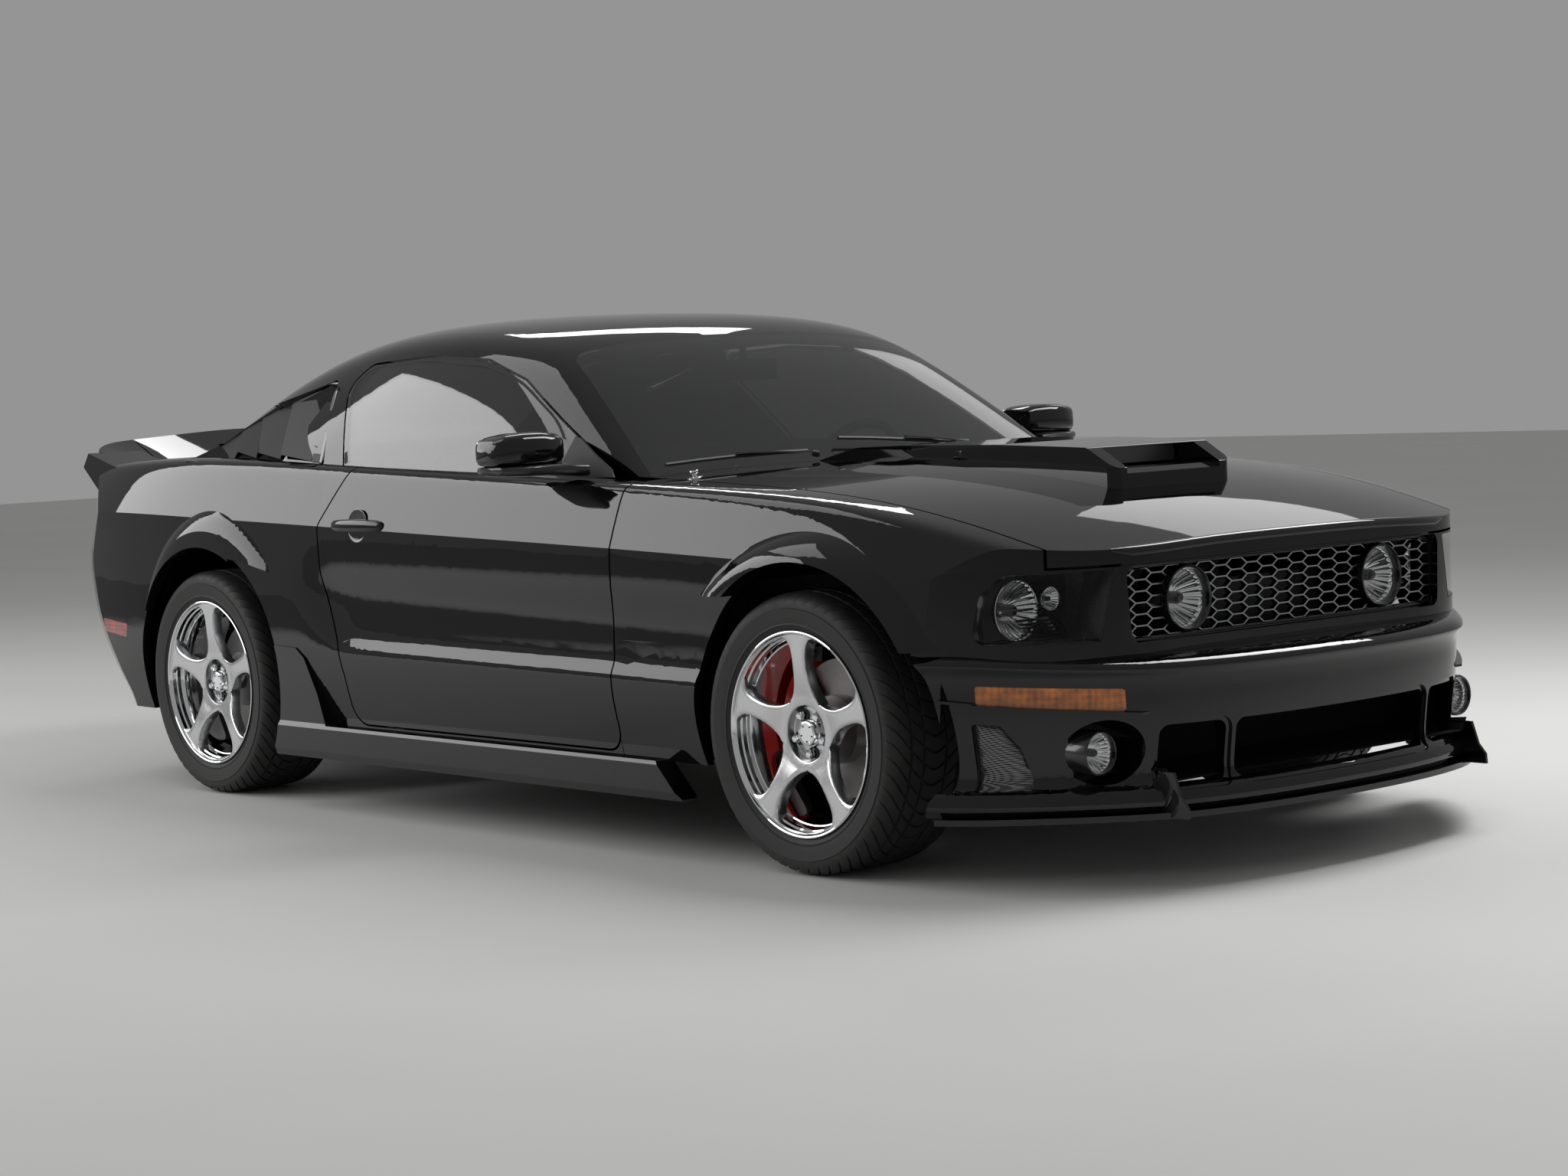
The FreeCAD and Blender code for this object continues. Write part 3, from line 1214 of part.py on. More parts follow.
bench_back = side_prism([(rear_seat_x - seat_length * 0.3, floor_z),
                         (rear_seat_x - seat_length * 0.05, floor_z),
                         (rear_seat_x - seat_length * 0.35, floor_z + seat_height + seat_back * 0.72),
                         (rear_seat_x - seat_length * 0.55, floor_z + seat_height + seat_back * 0.72)],
                        0.0, -rear_well_y + overrun, rear_well_y - overrun)
add("rear_seat", one(bench.fuse(bench_back)))
dash_rear_x = cowl_cut_x - dash_depth
dash = side_prism([(dash_rear_x, dash_foot_z), (cowl_cut_x, dash_foot_z), (cowl_cut_x, level(0.93)),
                   (dash_rear_x + dash_depth * 0.15, level(0.955)), (dash_rear_x, level(0.90))],
                  0.0, -jamb_y + panel_gap, jamb_y - panel_gap)
dash = one(dash.cut(outer.cut(hollow)).cut(door_opening).cut(mirrored(door_opening)))
add("dashboard", dash)
wheel_y = half_width * 0.40
column = Vector(math.cos(math.radians(column_angle)), 0, -math.sin(math.radians(column_angle)))
wheel_centre = Vector(dash_rear_x - column_length, wheel_y, level(0.90))
hoop = Part.makeTorus(steering_wheel_radius, steering_grip_radius, wheel_centre, column)
steering = Part.makeCylinder(steering_grip_radius * 3, steering_grip_radius * 2,
                             wheel_centre - column * steering_grip_radius, column)
steering = steering.fuse(Part.makeCylinder(column_radius, column_length * 0.8, wheel_centre, column))
steering = steering.fuse(hoop)
for angle in (0, 180, 270):
    turn = math.radians(angle)
    side_way = Vector(0, 1, 0)
    up_way = column.cross(side_way)
    tip = wheel_centre + side_way * (steering_wheel_radius * math.cos(turn)) + up_way * (
        steering_wheel_radius * math.sin(turn))
    steering = steering.fuse(rod(wheel_centre, tip, steering_grip_radius * 0.7))
add("steering_wheel", one(steering))
shroud = Part.makeCylinder(column_radius * 2.2, column_length * 1.6,
                           wheel_centre + column * column_length * 0.35, column)
bore = Part.makeCylinder(column_radius + seat_gap, column_length * 0.47,
                         wheel_centre + column * column_length * 0.34, column)
sub_parts["dashboard"] = one(dash.fuse(shroud).cut(bore))
mirror_x = place(0.455)
mirror_z = level(1.508)
cabin_mirror = box(mirror_x, mirror_x + mirror_wall, -mirror_width / 2, mirror_width / 2,
                   mirror_z, mirror_z + mirror_height)
stem = rod_z(mirror_x + mirror_wall / 2, 0, column_radius / 2, mirror_z + mirror_height / 2, roof_height)
add("cabin_mirror", one(cabin_mirror.fuse(stem.common(house_core))))

# Door mirrors: a swept housing on an arm from the front corner of the door glass.
# Plan of the housing and the arm, as shares of the mirror's depth and reach
mirror_at = place(0.402)
housing_shares = [(0.0, 0.30), (0.0, 1.0), (0.55, 0.985), (1.0, 0.72), (1.15, 0.36), (1.10, 0.26)]
arm_shares = [(0.30, 0.40), (1.10, 0.40), (2.05, -0.02), (2.05, -0.45), (0.80, -0.45), (0.45, 0.10)]
mirror_root_y = half_width * 0.925


def mirror_plan(shares, radius, z0, z1):
    points = [(mirror_at + a * door_mirror_depth, -mirror_root_y - b * door_mirror_reach) for a, b in shares]
    return plan_prism(points, radius, z0, z1)


crown_in_y = -half_width * 0.86
crown_out_y = -mirror_root_y - door_mirror_reach * 1.1
mirror_crown = [(crown_in_y, door_mirror_z), (crown_out_y, door_mirror_z),
                (crown_out_y, door_mirror_z + door_mirror_height * 0.70),
                (-mirror_root_y - door_mirror_reach * 0.72, door_mirror_z + door_mirror_height * 0.93),
                (-mirror_root_y, door_mirror_z + door_mirror_height),
                (crown_in_y, door_mirror_z + door_mirror_height * 0.85)]
corners = [Vector(mirror_at - overrun, y, z) for y, z in mirror_crown]
crown = Part.Face(rounded(corners, turn_corner * 3)).extrude(Vector(wheelbase / 2, 0, 0))
housing = mirror_plan(housing_shares, door_mirror_corner, door_mirror_z, door_mirror_z + door_mirror_height)
housing = housing.common(crown)
arm_top_z = door_mirror_z + door_mirror_height * 0.40
mirror_arm = mirror_plan(arm_shares, turn_corner, door_mirror_z, arm_top_z)
# Black corner plate in the front corner of the door glass, which carries the arm
corner_plate_shares = [(0.262, 0.907), (0.320, 0.945), (0.378, 0.955), (0.372, 1.31), (0.340, 1.23)]
plate_zone = side_window(corner_plate_shares, turn_corner, 0.0)
plate_gap = side_window(corner_plate_shares, turn_corner, glass_gap)
corner_plate = one(panes.common(door_window).cut(outer).common(plate_zone))
for side in ("right", "left"):
    whole = sub_parts["door_glass_" + side]
    sub_parts["door_glass_" + side] = one(whole.cut(plate_gap if side == "right" else mirrored(plate_gap)))
mirror_arm = one(mirror_arm.cut(roof_solid(glass_wall)).cut(outer).cut(door_prism(0.0).common(outer)))
door_mirror = one(housing.fuse(mirror_arm).fuse(corner_plate).cut(sub_parts["door_right"]))
door_mirror = one(door_mirror.cut(sub_parts["door_glass_right"]).cut(sub_parts["roof_panel"]))
add("door_mirror_right", door_mirror)
add("door_mirror_left", mirrored(door_mirror))


def top_of(shape, x, y):
    line = Part.LineSegment(Vector(x, y, level(0.5)), Vector(x, y, roof_height + overrun)).toShape()
    return max([v.Z for v in line.common(shape).Vertexes] + [0.0])


# Wipers: a foot on the cowl, and a blade that follows the foot of the windscreen
blades = []
for base_y in (-half_width * 0.25, half_width * 0.38):
    foot_x = hood_rear_x + hood_bow * 0.30
    way = []
    for k in range(wiper_spans + 1):
        x = foot_x - wiper_sweep * (k / wiper_spans)
        y = base_y - wiper_length * (k / wiper_spans)
        z = max(top_of(outer, x, y), top_of(house, x, y))
        way.append(Vector(x, y, z + wiper_radius + wiper_lift))
    foot = rod_z(way[0].x, way[0].y, wiper_radius * 2, level(0.9), way[0].z + wiper_radius * 1.5)
    path = Part.Wire([curve(way)])
    ring = Part.Wire([Part.makeCircle(wiper_radius, way[0], way[1] - way[0])])
    blade = path.makePipeShell([ring], True, False)
    blades.append(one(foot.cut(outer).cut(house).fuse(blade)))
add("wipers", Part.makeCompound(blades))

# Pads under the sills where a jack stands
pads = []
for pad_x in (door_front_x - jack_inset, rear_axle_x + arch_radius + jack_inset):
    pads.append(box(pad_x - jack_pad / 2, pad_x + jack_pad / 2, -jamb_y + panel_wall,
                    -jamb_y + panel_wall + jack_pad, sill_height - jack_wall, sill_height + panel_wall / 2))
for pad in pads:
    sub_parts["floor_pan"] = sub_parts["floor_pan"].fuse(pad).fuse(mirrored(pad))
sub_parts["floor_pan"] = one(sub_parts["floor_pan"])

os.makedirs("parts", exist_ok=True)
for name, shape in sub_parts.items():
    shape.exportStep("parts/%s.step" % name)
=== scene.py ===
# %% [markdown]
# # A black muscle car, dressed in Blender
# The car's solids come ready made and packed as a fixed frame: body panels, glass, wheels and seats, all in metres.
# This lesson paints them, adds the small parts that solids leave out, and sets the light and the camera.
# Every added piece rides on one of the car's bodies, so that doors, hood and wheels can still move.

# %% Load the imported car
import bmesh
import bpy
import json
import math
from mathutils import Matrix, Vector
from mathutils.bvhtree import BVHTree


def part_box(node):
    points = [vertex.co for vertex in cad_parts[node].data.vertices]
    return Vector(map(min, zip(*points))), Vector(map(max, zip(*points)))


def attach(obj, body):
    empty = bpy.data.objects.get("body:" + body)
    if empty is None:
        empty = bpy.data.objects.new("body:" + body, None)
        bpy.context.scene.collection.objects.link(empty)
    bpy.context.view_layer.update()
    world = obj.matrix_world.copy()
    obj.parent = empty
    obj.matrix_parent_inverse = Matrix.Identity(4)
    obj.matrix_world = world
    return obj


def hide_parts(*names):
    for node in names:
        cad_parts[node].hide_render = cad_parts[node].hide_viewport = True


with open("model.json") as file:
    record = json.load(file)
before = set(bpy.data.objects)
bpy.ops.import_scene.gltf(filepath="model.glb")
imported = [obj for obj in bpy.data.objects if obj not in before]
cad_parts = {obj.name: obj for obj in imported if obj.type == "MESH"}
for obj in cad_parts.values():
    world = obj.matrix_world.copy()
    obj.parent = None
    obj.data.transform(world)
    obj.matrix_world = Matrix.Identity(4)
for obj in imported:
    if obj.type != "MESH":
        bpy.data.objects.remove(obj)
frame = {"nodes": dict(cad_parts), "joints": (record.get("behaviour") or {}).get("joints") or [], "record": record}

scene = bpy.context.scene
nodes = frame["nodes"]
slots_by_node = {row["node"]: row["material_slot"] for row in frame["record"]["subparts"]}
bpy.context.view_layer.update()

# %% [markdown]
# The camera comes first, because everything else is judged through it. It stands ahead of the car and to its right,
# a little above the hood, eight metres away, with a long lens, so the car looks hardly distorted. It also leans by
# two and a half degrees. The matrix is built from those three angles, with the view direction as minus Z.

# %% Camera at the photograph's angle
camera_data = bpy.data.cameras.new("camera")
camera_data.lens = 70.72
camera_data.sensor_width = 36.0
camera = bpy.data.objects.new("camera", camera_data)
scene.collection.objects.link(camera)
yaw, pitch, roll = math.radians(139.39), math.radians(3.89), math.radians(-2.55)
ahead = Vector((math.cos(yaw) * math.cos(pitch), math.sin(yaw) * math.cos(pitch), -math.sin(pitch)))
flat_right = ahead.cross(Vector((0, 0, 1))).normalized()
flat_up = flat_right.cross(ahead)
lean_right = flat_right * math.cos(roll) + flat_up * math.sin(roll)
lean_up = lean_right.cross(ahead)
camera.matrix_world = Matrix((
    (lean_right.x, lean_up.x, -ahead.x, 6.914), (lean_right.y, lean_up.y, -ahead.y, -5.638),
    (lean_right.z, lean_up.z, -ahead.z, 1.179), (0, 0, 0, 1)))
scene.camera = camera
scene.view_settings.view_transform = "Standard"
print("camera at", [round(c, 2) for c in camera.matrix_world.translation])

# %% [markdown]
# Blender's materials are graphs of nodes. Writing them as sums and products of sockets keeps them readable, so two
# small classes come first. `Tone` wraps a socket and turns `+`, `-`, `*` and the rest into Math nodes. `Finish` is
# one material: its `add` method makes any other node from its type, its settings and its inputs.


# %% Helpers for shader graphs
class Tone:
    """One output socket, on which plain arithmetic can be written."""

    def __init__(self, finish, socket):
        self.finish = finish
        self.socket = socket

    def maths(self, operation, *values):
        node = self.finish.add("ShaderNodeMath", {"operation": operation}, dict(enumerate(values)))
        return Tone(self.finish, node.outputs[0])

    def __add__(self, other):
        return self.maths("ADD", self, other)

    def __radd__(self, other):
        return self.maths("ADD", other, self)

    def __sub__(self, other):
        return self.maths("SUBTRACT", self, other)

    def __rsub__(self, other):
        return self.maths("SUBTRACT", other, self)

    def __mul__(self, other):
        return self.maths("MULTIPLY", self, other)

    def __rmul__(self, other):
        return self.maths("MULTIPLY", other, self)

    def __truediv__(self, other):
        return self.maths("DIVIDE", self, other)

    def __pow__(self, other):
        return self.maths("POWER", self, other)

    def __mod__(self, other):
        return self.maths("FLOORED_MODULO", self, other)

    def __gt__(self, other):
        return self.maths("GREATER_THAN", self, other)

    def __lt__(self, other):
        return self.maths("LESS_THAN", self, other)

    def __abs__(self):
        return self.maths("ABSOLUTE", self)


class Finish:
    """One material, built on a Principled shader."""

    def __init__(self, name, **sockets):
        self.material = bpy.data.materials.new(name)
        self.material.use_nodes = True
        self.tree = self.material.node_tree
        self.tree.nodes.clear()
        self.shader = self.add("ShaderNodeBsdfPrincipled", {}, {})
        self.output = self.add("ShaderNodeOutputMaterial", {}, {0: self.shader.outputs[0]})
        for socket, value in sockets.items():
            self.feed(socket.replace("_", " "), value)

    def add(self, kind, settings, inputs):
        node = self.tree.nodes.new(kind)
        for setting, value in settings.items():
            if setting == "stops":
                ramp = node.color_ramp
                while len(ramp.elements) < len(value):
                    ramp.elements.new(0.5)
                for element, (place, shade) in zip(ramp.elements, value):
                    element.position = place
                    element.color = (*shade, 1.0) if isinstance(shade, tuple) else (shade, shade, shade, 1.0)
            else:
                setattr(node, setting, value)
        for key, value in inputs.items():
            self.plug(node.inputs[key], value)
        return node

    def plug(self, socket, value):
        if isinstance(value, Tone):
            value = value.socket
        if isinstance(value, bpy.types.NodeSocket):
            self.tree.links.new(value, socket)
        elif isinstance(value, tuple) and len(value) == 3 and socket.type == "RGBA":
            socket.default_value = (*value, 1.0)
        else:
            socket.default_value = value

    def feed(self, name, value):
        self.plug(self.shader.inputs[name], value)

    def place(self, output="Object"):
        """Where a point is on the piece itself, so that a pattern stays on it when it moves."""
        return self.add("ShaderNodeTexCoord", {}, {}).outputs[output]

    def axes(self, output="Object"):
        node = self.add("ShaderNodeSeparateXYZ", {}, {0: self.place(output)})
        return [Tone(self, socket) for socket in node.outputs]

    def noise(self, scale, detail=2.0):
        node = self.add("ShaderNodeTexNoise", {}, {"Vector": self.place(), "Scale": scale, "Detail": detail})
        return Tone(self, node.outputs[0])

    def bump(self, height, strength, distance):
        node = self.add("ShaderNodeBump", {}, {"Height": height, "Strength": strength, "Distance": distance})
        self.feed("Normal", node.outputs[0])

    def blend(self, mask, low, high):
        node = self.add("ShaderNodeMix", {"data_type": "RGBA"}, {0: mask, 6: low, 7: high})
        return node.outputs[2]


# %% [markdown]
# Gloss black paint is a nearly black base under a clear coat. Nearly all that the eye sees of it is the coat's
# reflection, so the base has no gloss of its own and the coat is smooth. Real coats have a faint orange peel, which
# softens long reflections a little: here a weak bump from a fine noise.

# %% Paint
paint = Finish("gloss_black_paint", Base_Color=(0.003, 0.003, 0.0035), Roughness=0.5, Coat_Weight=1.0,
               Coat_Roughness=0.02, Specular_IOR_Level=0.0)
peel = paint.noise(110.0, 1.0)
paint.bump(peel, 0.012, 0.0006)
trim = Finish("satin_black_trim", Base_Color=(0.012, 0.012, 0.013), Specular_IOR_Level=0.4)
grain = trim.noise(900.0, 3.0)
trim.feed("Roughness", 0.34 + 0.2 * grain)
trim.bump(grain, 0.15, 0.0004)
gloss_trim = Finish("gloss_black_plastic", Base_Color=(0.006, 0.006, 0.007), Coat_Weight=0.6, Coat_Roughness=0.05)
gloss_trim.feed("Roughness", 0.18 + 0.1 * gloss_trim.noise(60.0))
print("paint, trim and gloss trim are mixed")

# %% [markdown]
# Tyre rubber is dark grey rather than black, dull, and slightly mottled where it has been handled. Its side wall has
# fine rings from the mould. Distance from the wheel's axis is the square root of x² + y², because a wheel's own Z
# axis points outwards, and the rings come from that distance taken modulo their spacing.

# %% Rubber
rubber = Finish("tyre_rubber", Specular_IOR_Level=0.35)
across, along = rubber.axes()[:2]
radius = (across * across + along * along) ** 0.5
mottle = rubber.noise(35.0, 4.0)
rubber.feed("Base Color", rubber.blend(mottle, (0.016, 0.016, 0.016), (0.034, 0.033, 0.032)))
rubber.feed("Roughness", 0.5 + 0.22 * mottle)
fine_rings = ((radius % 0.0035) > 0.0024) * (radius > 0.262) * (radius < 0.300)
rubber.bump(fine_rings * 0.5 + rubber.noise(700.0) * 0.25, 0.35, 0.0006)
seal = Finish("window_rubber", Base_Color=(0.010, 0.010, 0.010), Specular_IOR_Level=0.3)
seal.feed("Roughness", 0.55 + 0.2 * seal.noise(300.0))

# %% [markdown]
# The wheels have two finishes: satin, bright spoke faces and a mirror-bright barrel behind them. Brushing shows as
# noise in the spokes' colour, roughness and bump. The discs are grey cast iron, mottled a little towards brown, with
# a fine bump from noise.

# %% Bright metals
spoke_metal = Finish("satin_bright_spokes", Metallic=1.0)
brushed = spoke_metal.noise(160.0, 3.0)
spoke_metal.feed("Base Color", spoke_metal.blend(brushed, (0.56, 0.56, 0.57), (0.68, 0.68, 0.69)))
spoke_metal.feed("Roughness", 0.17 + 0.12 * brushed)
spoke_metal.bump(brushed, 0.05, 0.0003)
chrome = Finish("mirror_chrome", Base_Color=(0.80, 0.81, 0.82), Metallic=1.0)
chrome.feed("Roughness", 0.03 + 0.05 * chrome.noise(25.0))
disc_iron = Finish("turned_iron", Metallic=1.0)
disc_mottle = disc_iron.noise(30.0, 5.0)
disc_iron.feed("Base Color", disc_iron.blend(disc_mottle, (0.20, 0.19, 0.19), (0.34, 0.33, 0.32)))
disc_iron.feed("Roughness", 0.30 + 0.25 * disc_mottle)
disc_iron.bump(disc_iron.noise(500.0), 0.2, 0.0003)
red_caliper = Finish("red_gloss_caliper", Coat_Weight=0.8, Coat_Roughness=0.06, Roughness=0.35)
red_caliper.feed("Base Color", red_caliper.blend(red_caliper.noise(8.0), (0.50, 0.010, 0.008), (0.62, 0.018, 0.012)))
dark_steel = Finish("dark_chassis_steel", Metallic=0.3)
grime = dark_steel.noise(18.0, 5.0)
dark_steel.feed("Base Color", dark_steel.blend(grime, (0.018, 0.018, 0.019), (0.050, 0.047, 0.044)))
dark_steel.feed("Roughness", 0.45 + 0.3 * grime)
dark_steel.bump(dark_steel.noise(220.0), 0.25, 0.0008)
exhaust = Finish("brushed_exhaust_steel", Metallic=1.0)
heat = exhaust.noise(6.0, 3.0)
exhaust.feed("Base Color", exhaust.blend(heat, (0.34, 0.31, 0.28), (0.52, 0.50, 0.47)))
exhaust.feed("Roughness", 0.22 + 0.2 * exhaust.noise(90.0, 4.0))
engine_metal = Finish("cast_engine_metal", Metallic=0.6)
rough_cast = engine_metal.noise(120.0, 5.0)
engine_metal.feed("Base Color", engine_metal.blend(rough_cast, (0.05, 0.05, 0.05), (0.16, 0.16, 0.16)))
engine_metal.feed("Roughness", 0.45 + 0.3 * rough_cast)
engine_metal.bump(rough_cast, 0.5, 0.002)
print("metals are mixed")

# %% [markdown]
# Glass seen from outside does two things: it lets some of what is behind it through, and its surface reflects. A
# Principled shader with a low Alpha and a strong specular level does both, and stays simple to export. The windows
# are smoke tinted, the lamp glass is nearly clear, and the corner lenses are amber or red with moulded ribs.
# Their colour carries painted glints and painted shade: brighter along the ribs and in blotches, darker between.

# %% Glass and lenses
tinted = Finish("tinted_window_glass", Base_Color=(0.006, 0.007, 0.007), Specular_IOR_Level=1.0, Alpha=0.62,
                Coat_Weight=0.5, Coat_Roughness=0.01)
tinted.feed("Roughness", 0.015 + 0.01 * tinted.noise(3.0))
clear_lens = Finish("clear_lamp_lens", Base_Color=(0.02, 0.02, 0.02), Specular_IOR_Level=0.8, Alpha=0.08,
                    Coat_Weight=0.6, Coat_Roughness=0.01)
clear_lens.feed("Roughness", 0.02 + 0.02 * clear_lens.noise(9.0))


def ribbed_lens(name, dark, bright, spacing):
    lens = Finish(name, Coat_Weight=1.0, Coat_Roughness=0.03, Roughness=0.22)
    along_y, along_z = lens.axes()[1:]
    ribs = abs((along_y % spacing) / spacing - 0.5) * 2.0
    steps = abs((along_z % (spacing * 1.4)) / (spacing * 1.4) - 0.5) * 2.0
    prisms_and_glints = ribs * 0.6 + steps * 0.4
    # The base colour is painted glints and painted shade: brighter along the ribs and in noise blotches, darker
    # between.
    lens.feed("Base Color", lens.blend(prisms_and_glints * 0.35 + lens.noise(38.0, 4.0) ** 2.0 * 1.6 - 0.1, dark, bright))
    lens.bump(prisms_and_glints, 0.35, 0.0016)
    return lens


# Each lens is given a darker and a brighter colour, between which its painted glints lie, and its rib spacing.
amber = ribbed_lens("amber_turn_lens", (0.13, 0.024, 0.001), (0.72, 0.20, 0.004), 0.011)
red_lens = ribbed_lens("red_tail_lens", (0.10, 0.002, 0.002), (0.42, 0.008, 0.006), 0.009)

# %% [markdown]
# Inside the car are grained plastic and leather. Leather grain is a Voronoi pattern: its cell borders are the
# creases. Its distance output bumps the surface, and a slow noise varies its gloss where it is rubbed.

# %% Cabin finishes
cabin_plastic = Finish("grained_cabin_plastic", Base_Color=(0.018, 0.018, 0.019))
stipple = cabin_plastic.noise(1200.0, 2.0)
cabin_plastic.feed("Roughness", 0.5 + 0.2 * stipple)
cabin_plastic.bump(stipple, 0.3, 0.0005)
leather = Finish("black_seat_leather")
creases = leather.add("ShaderNodeTexVoronoi", {"feature": "DISTANCE_TO_EDGE"},
                      {"Vector": leather.place(), "Scale": 420.0})
grain = Tone(leather, creases.outputs[0])
rubbed = leather.noise(7.0, 3.0)
leather.feed("Base Color", leather.blend(rubbed, (0.022, 0.021, 0.020), (0.050, 0.048, 0.046)))
leather.feed("Roughness", 0.38 + 0.22 * rubbed)
leather.bump(grain, 0.35, 0.0009)

# %% [markdown]
# The honeycomb grille is black, and the front edges of its cells are painted bright metal, a painted highlight. The
# mesh already has that shape, so the finish only has to know which faces look forward: the X part of the normal, in
# the piece's own axes, is near 1 there.

# %% Grille finish
grille_finish = Finish("black_grille_painted_highlight")
# Faces that look forward are painted bright metal: a painted highlight on the cells' front edges.
forward_highlight = grille_finish.axes("Normal")[0] > 0.86
grille_finish.feed("Base Color", grille_finish.blend(forward_highlight, (0.010, 0.010, 0.011), (0.36, 0.37, 0.39)))
grille_finish.feed("Metallic", forward_highlight * 1.0)
grille_finish.feed("Roughness", 0.24 + 0.16 * grille_finish.noise(80.0))
finishes = {
    "body_paint": paint, "tyre": rubber, "chrome_rim": spoke_metal, "brake_iron": disc_iron,
    "red_caliper": red_caliper, "chassis_metal": dark_steel, "tinted_glass": tinted, "lamp_glass": clear_lens,
    "amber_lens": amber, "red_lens": red_lens, "black_trim": trim, "cabin_plastic": cabin_plastic,
    "seat_leather": leather, "engine_metal": engine_metal, "exhaust_steel": exhaust}
for name, node in nodes.items():
    node.data.materials.clear()
    node.data.materials.append(finishes[slots_by_node[name]].material)
nodes["grille"].data.materials[0] = grille_finish.material
print("finishes on", len(nodes), "nodes")

# %% [markdown]
# Small parts are made by a handful of shapes. `turned` spins a profile about Z, like a lathe. `loft` skins a row of
# rings, `swept` drags a flat section along a path, and `plate` gives an outline a thickness. `show` puts a mesh in
# the scene with its finish and lets it ride on a body of the car, and `aim` makes the matrix that places it.


# %% Helpers for shapes
def new_mesh(name, points, faces):
    mesh = bpy.data.meshes.new(name)
    mesh.from_pydata([tuple(point) for point in points], [], faces)
    shape = bmesh.new()
    shape.from_mesh(mesh)
    bmesh.ops.remove_doubles(shape, verts=shape.verts, dist=1e-6)
    bmesh.ops.dissolve_degenerate(shape, dist=1e-7, edges=shape.edges)
    bmesh.ops.recalc_face_normals(shape, faces=shape.faces)
    shape.to_mesh(mesh)
    shape.free()
    return mesh


def turned(name, profile, steps=64):
    """A profile of (radius, height) pairs, spun about Z."""
    rows = len(profile)
    points = []
    faces = []
    for step in range(steps):
        angle = 2 * math.pi * step / steps
        points += [(r * math.cos(angle), r * math.sin(angle), height) for r, height in profile]
        here, there = step * rows, (step + 1) % steps * rows
        faces += [(here + i, there + i, there + i + 1, here + i + 1) for i in range(rows - 1)]
    return new_mesh(name, points, faces)


def loft(name, rings, closed=False):
    """A skin over rings of equally many points, capped at both ends or closed on itself."""
    size = len(rings[0])
    points = [point for ring in rings for point in ring]
    count = len(rings)
    faces = []
    for row in range(count if closed else count - 1):
        here, there = row * size, (row + 1) % count * size
        faces += [(here + i, here + (i + 1) % size, there + (i + 1) % size, there + i) for i in range(size)]
    if not closed:
        faces += [tuple(range(size)), tuple(range((count - 1) * size, count * size))]
    return new_mesh(name, points, faces)


def swept(name, path, section, up=(0, 0, 1), closed=False):
    """A section of (sideways, upwards) pairs, dragged along a path."""
    rings = []
    count = len(path)
    for i, point in enumerate(path):
        back = path[(i - 1) % count] if closed else path[max(i - 1, 0)]
        front = path[(i + 1) % count] if closed else path[min(i + 1, count - 1)]
        way = (Vector(front) - Vector(back)).normalized()
        side = way.cross(Vector(up)).normalized()
        over = side.cross(way)
        rings.append([Vector(point) + side * s + over * u for s, u in section])
    return loft(name, rings, closed)


def circle(radius, sides=12, flat=1.0):
    turn = 2 * math.pi / sides
    return [(radius * math.cos(turn * i), radius * flat * math.sin(turn * i)) for i in range(sides)]


def squircle(wide, tall, sides=24, power=0.5):
    """A rounded rectangle: the powers pull a circle's points out towards the corners."""
    points = []
    for x, y in circle(1.0, sides):
        points.append((math.copysign(abs(x) ** power, x) * wide, math.copysign(abs(y) ** power, y) * tall))
    return points


def plate(name, outline, thickness):
    """An outline in the XY plane, thickened upwards along Z."""
    rings = [[(x, y, height) for x, y in outline] for height in (0.0, thickness)]
    return loft(name, rings)


def aim(point, way, up=(0, 0, 1)):
    """The matrix that puts a shape's origin at point and turns its Z axis along way."""
    z = Vector(way).normalized()
    x = Vector(up).cross(z).normalized()
    y = z.cross(x)
    return Matrix(((x.x, y.x, z.x, point[0]), (x.y, y.y, z.y, point[1]), (x.z, y.z, z.z, point[2]), (0, 0, 0, 1)))


def show(name, mesh, finish, body="root", at=None, stands_for=(), bevel=0.0, wall=0.0):
    piece = bpy.data.objects.new(name, mesh)
    scene.collection.objects.link(piece)
    if at is not None:
        piece.matrix_world = at
    mesh.materials.clear()
    mesh.materials.append(finish.material)
    mesh.shade_smooth()
    mesh.set_sharp_from_angle(angle=math.radians(35))
    if wall:
        skin = piece.modifiers.new("wall", "SOLIDIFY")
        skin.thickness = wall
    if bevel:
        edges = piece.modifiers.new("edges", "BEVEL")
        edges.width = bevel
        edges.segments = 2
        edges.limit_method = "ANGLE"
    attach(piece, body)
    if stands_for:
        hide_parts(*stands_for)
    return piece


def part_of(name, node, keep):
    """The faces of a CAD node that keep(centre, normal) accepts, as a new mesh."""
    shape = bmesh.new()
    shape.from_mesh(nodes[node].data)
    shape.normal_update()
    dropped = [face for face in shape.faces if not keep(face.calc_center_median(), face.normal)]
    bmesh.ops.delete(shape, geom=dropped, context="FACES")
    mesh = bpy.data.meshes.new(name)
    shape.to_mesh(mesh)
    shape.free()
    return mesh


sides = {"right": -1.0, "left": 1.0}

# %% [markdown]
# A tyre is a profile spun around the axle, but its tread is not round: 54 slanting grooves cross it. The grid is
# sheared, so that each column of the mesh already runs along a groove, and two columns in five are pushed in. Three
# ring grooves are part of the profile itself. All four tyres share one mesh; its Z axis points outwards.

# %% Tyres
tyre_low, tyre_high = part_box("tyre_front_right")
tyre_radius = (tyre_high.x - tyre_low.x) / 2
half_track = -(tyre_low.y + tyre_high.y) / 2
axles = {"front": (tyre_low.x + tyre_high.x) / 2}
rear_low, rear_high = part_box("tyre_rear_right")
axles["rear"] = (rear_low.x + rear_high.x) / 2


def wheel_frame(axle, side):
    return aim((axles[axle], sides[side] * half_track, tyre_radius), (0, sides[side], 0))


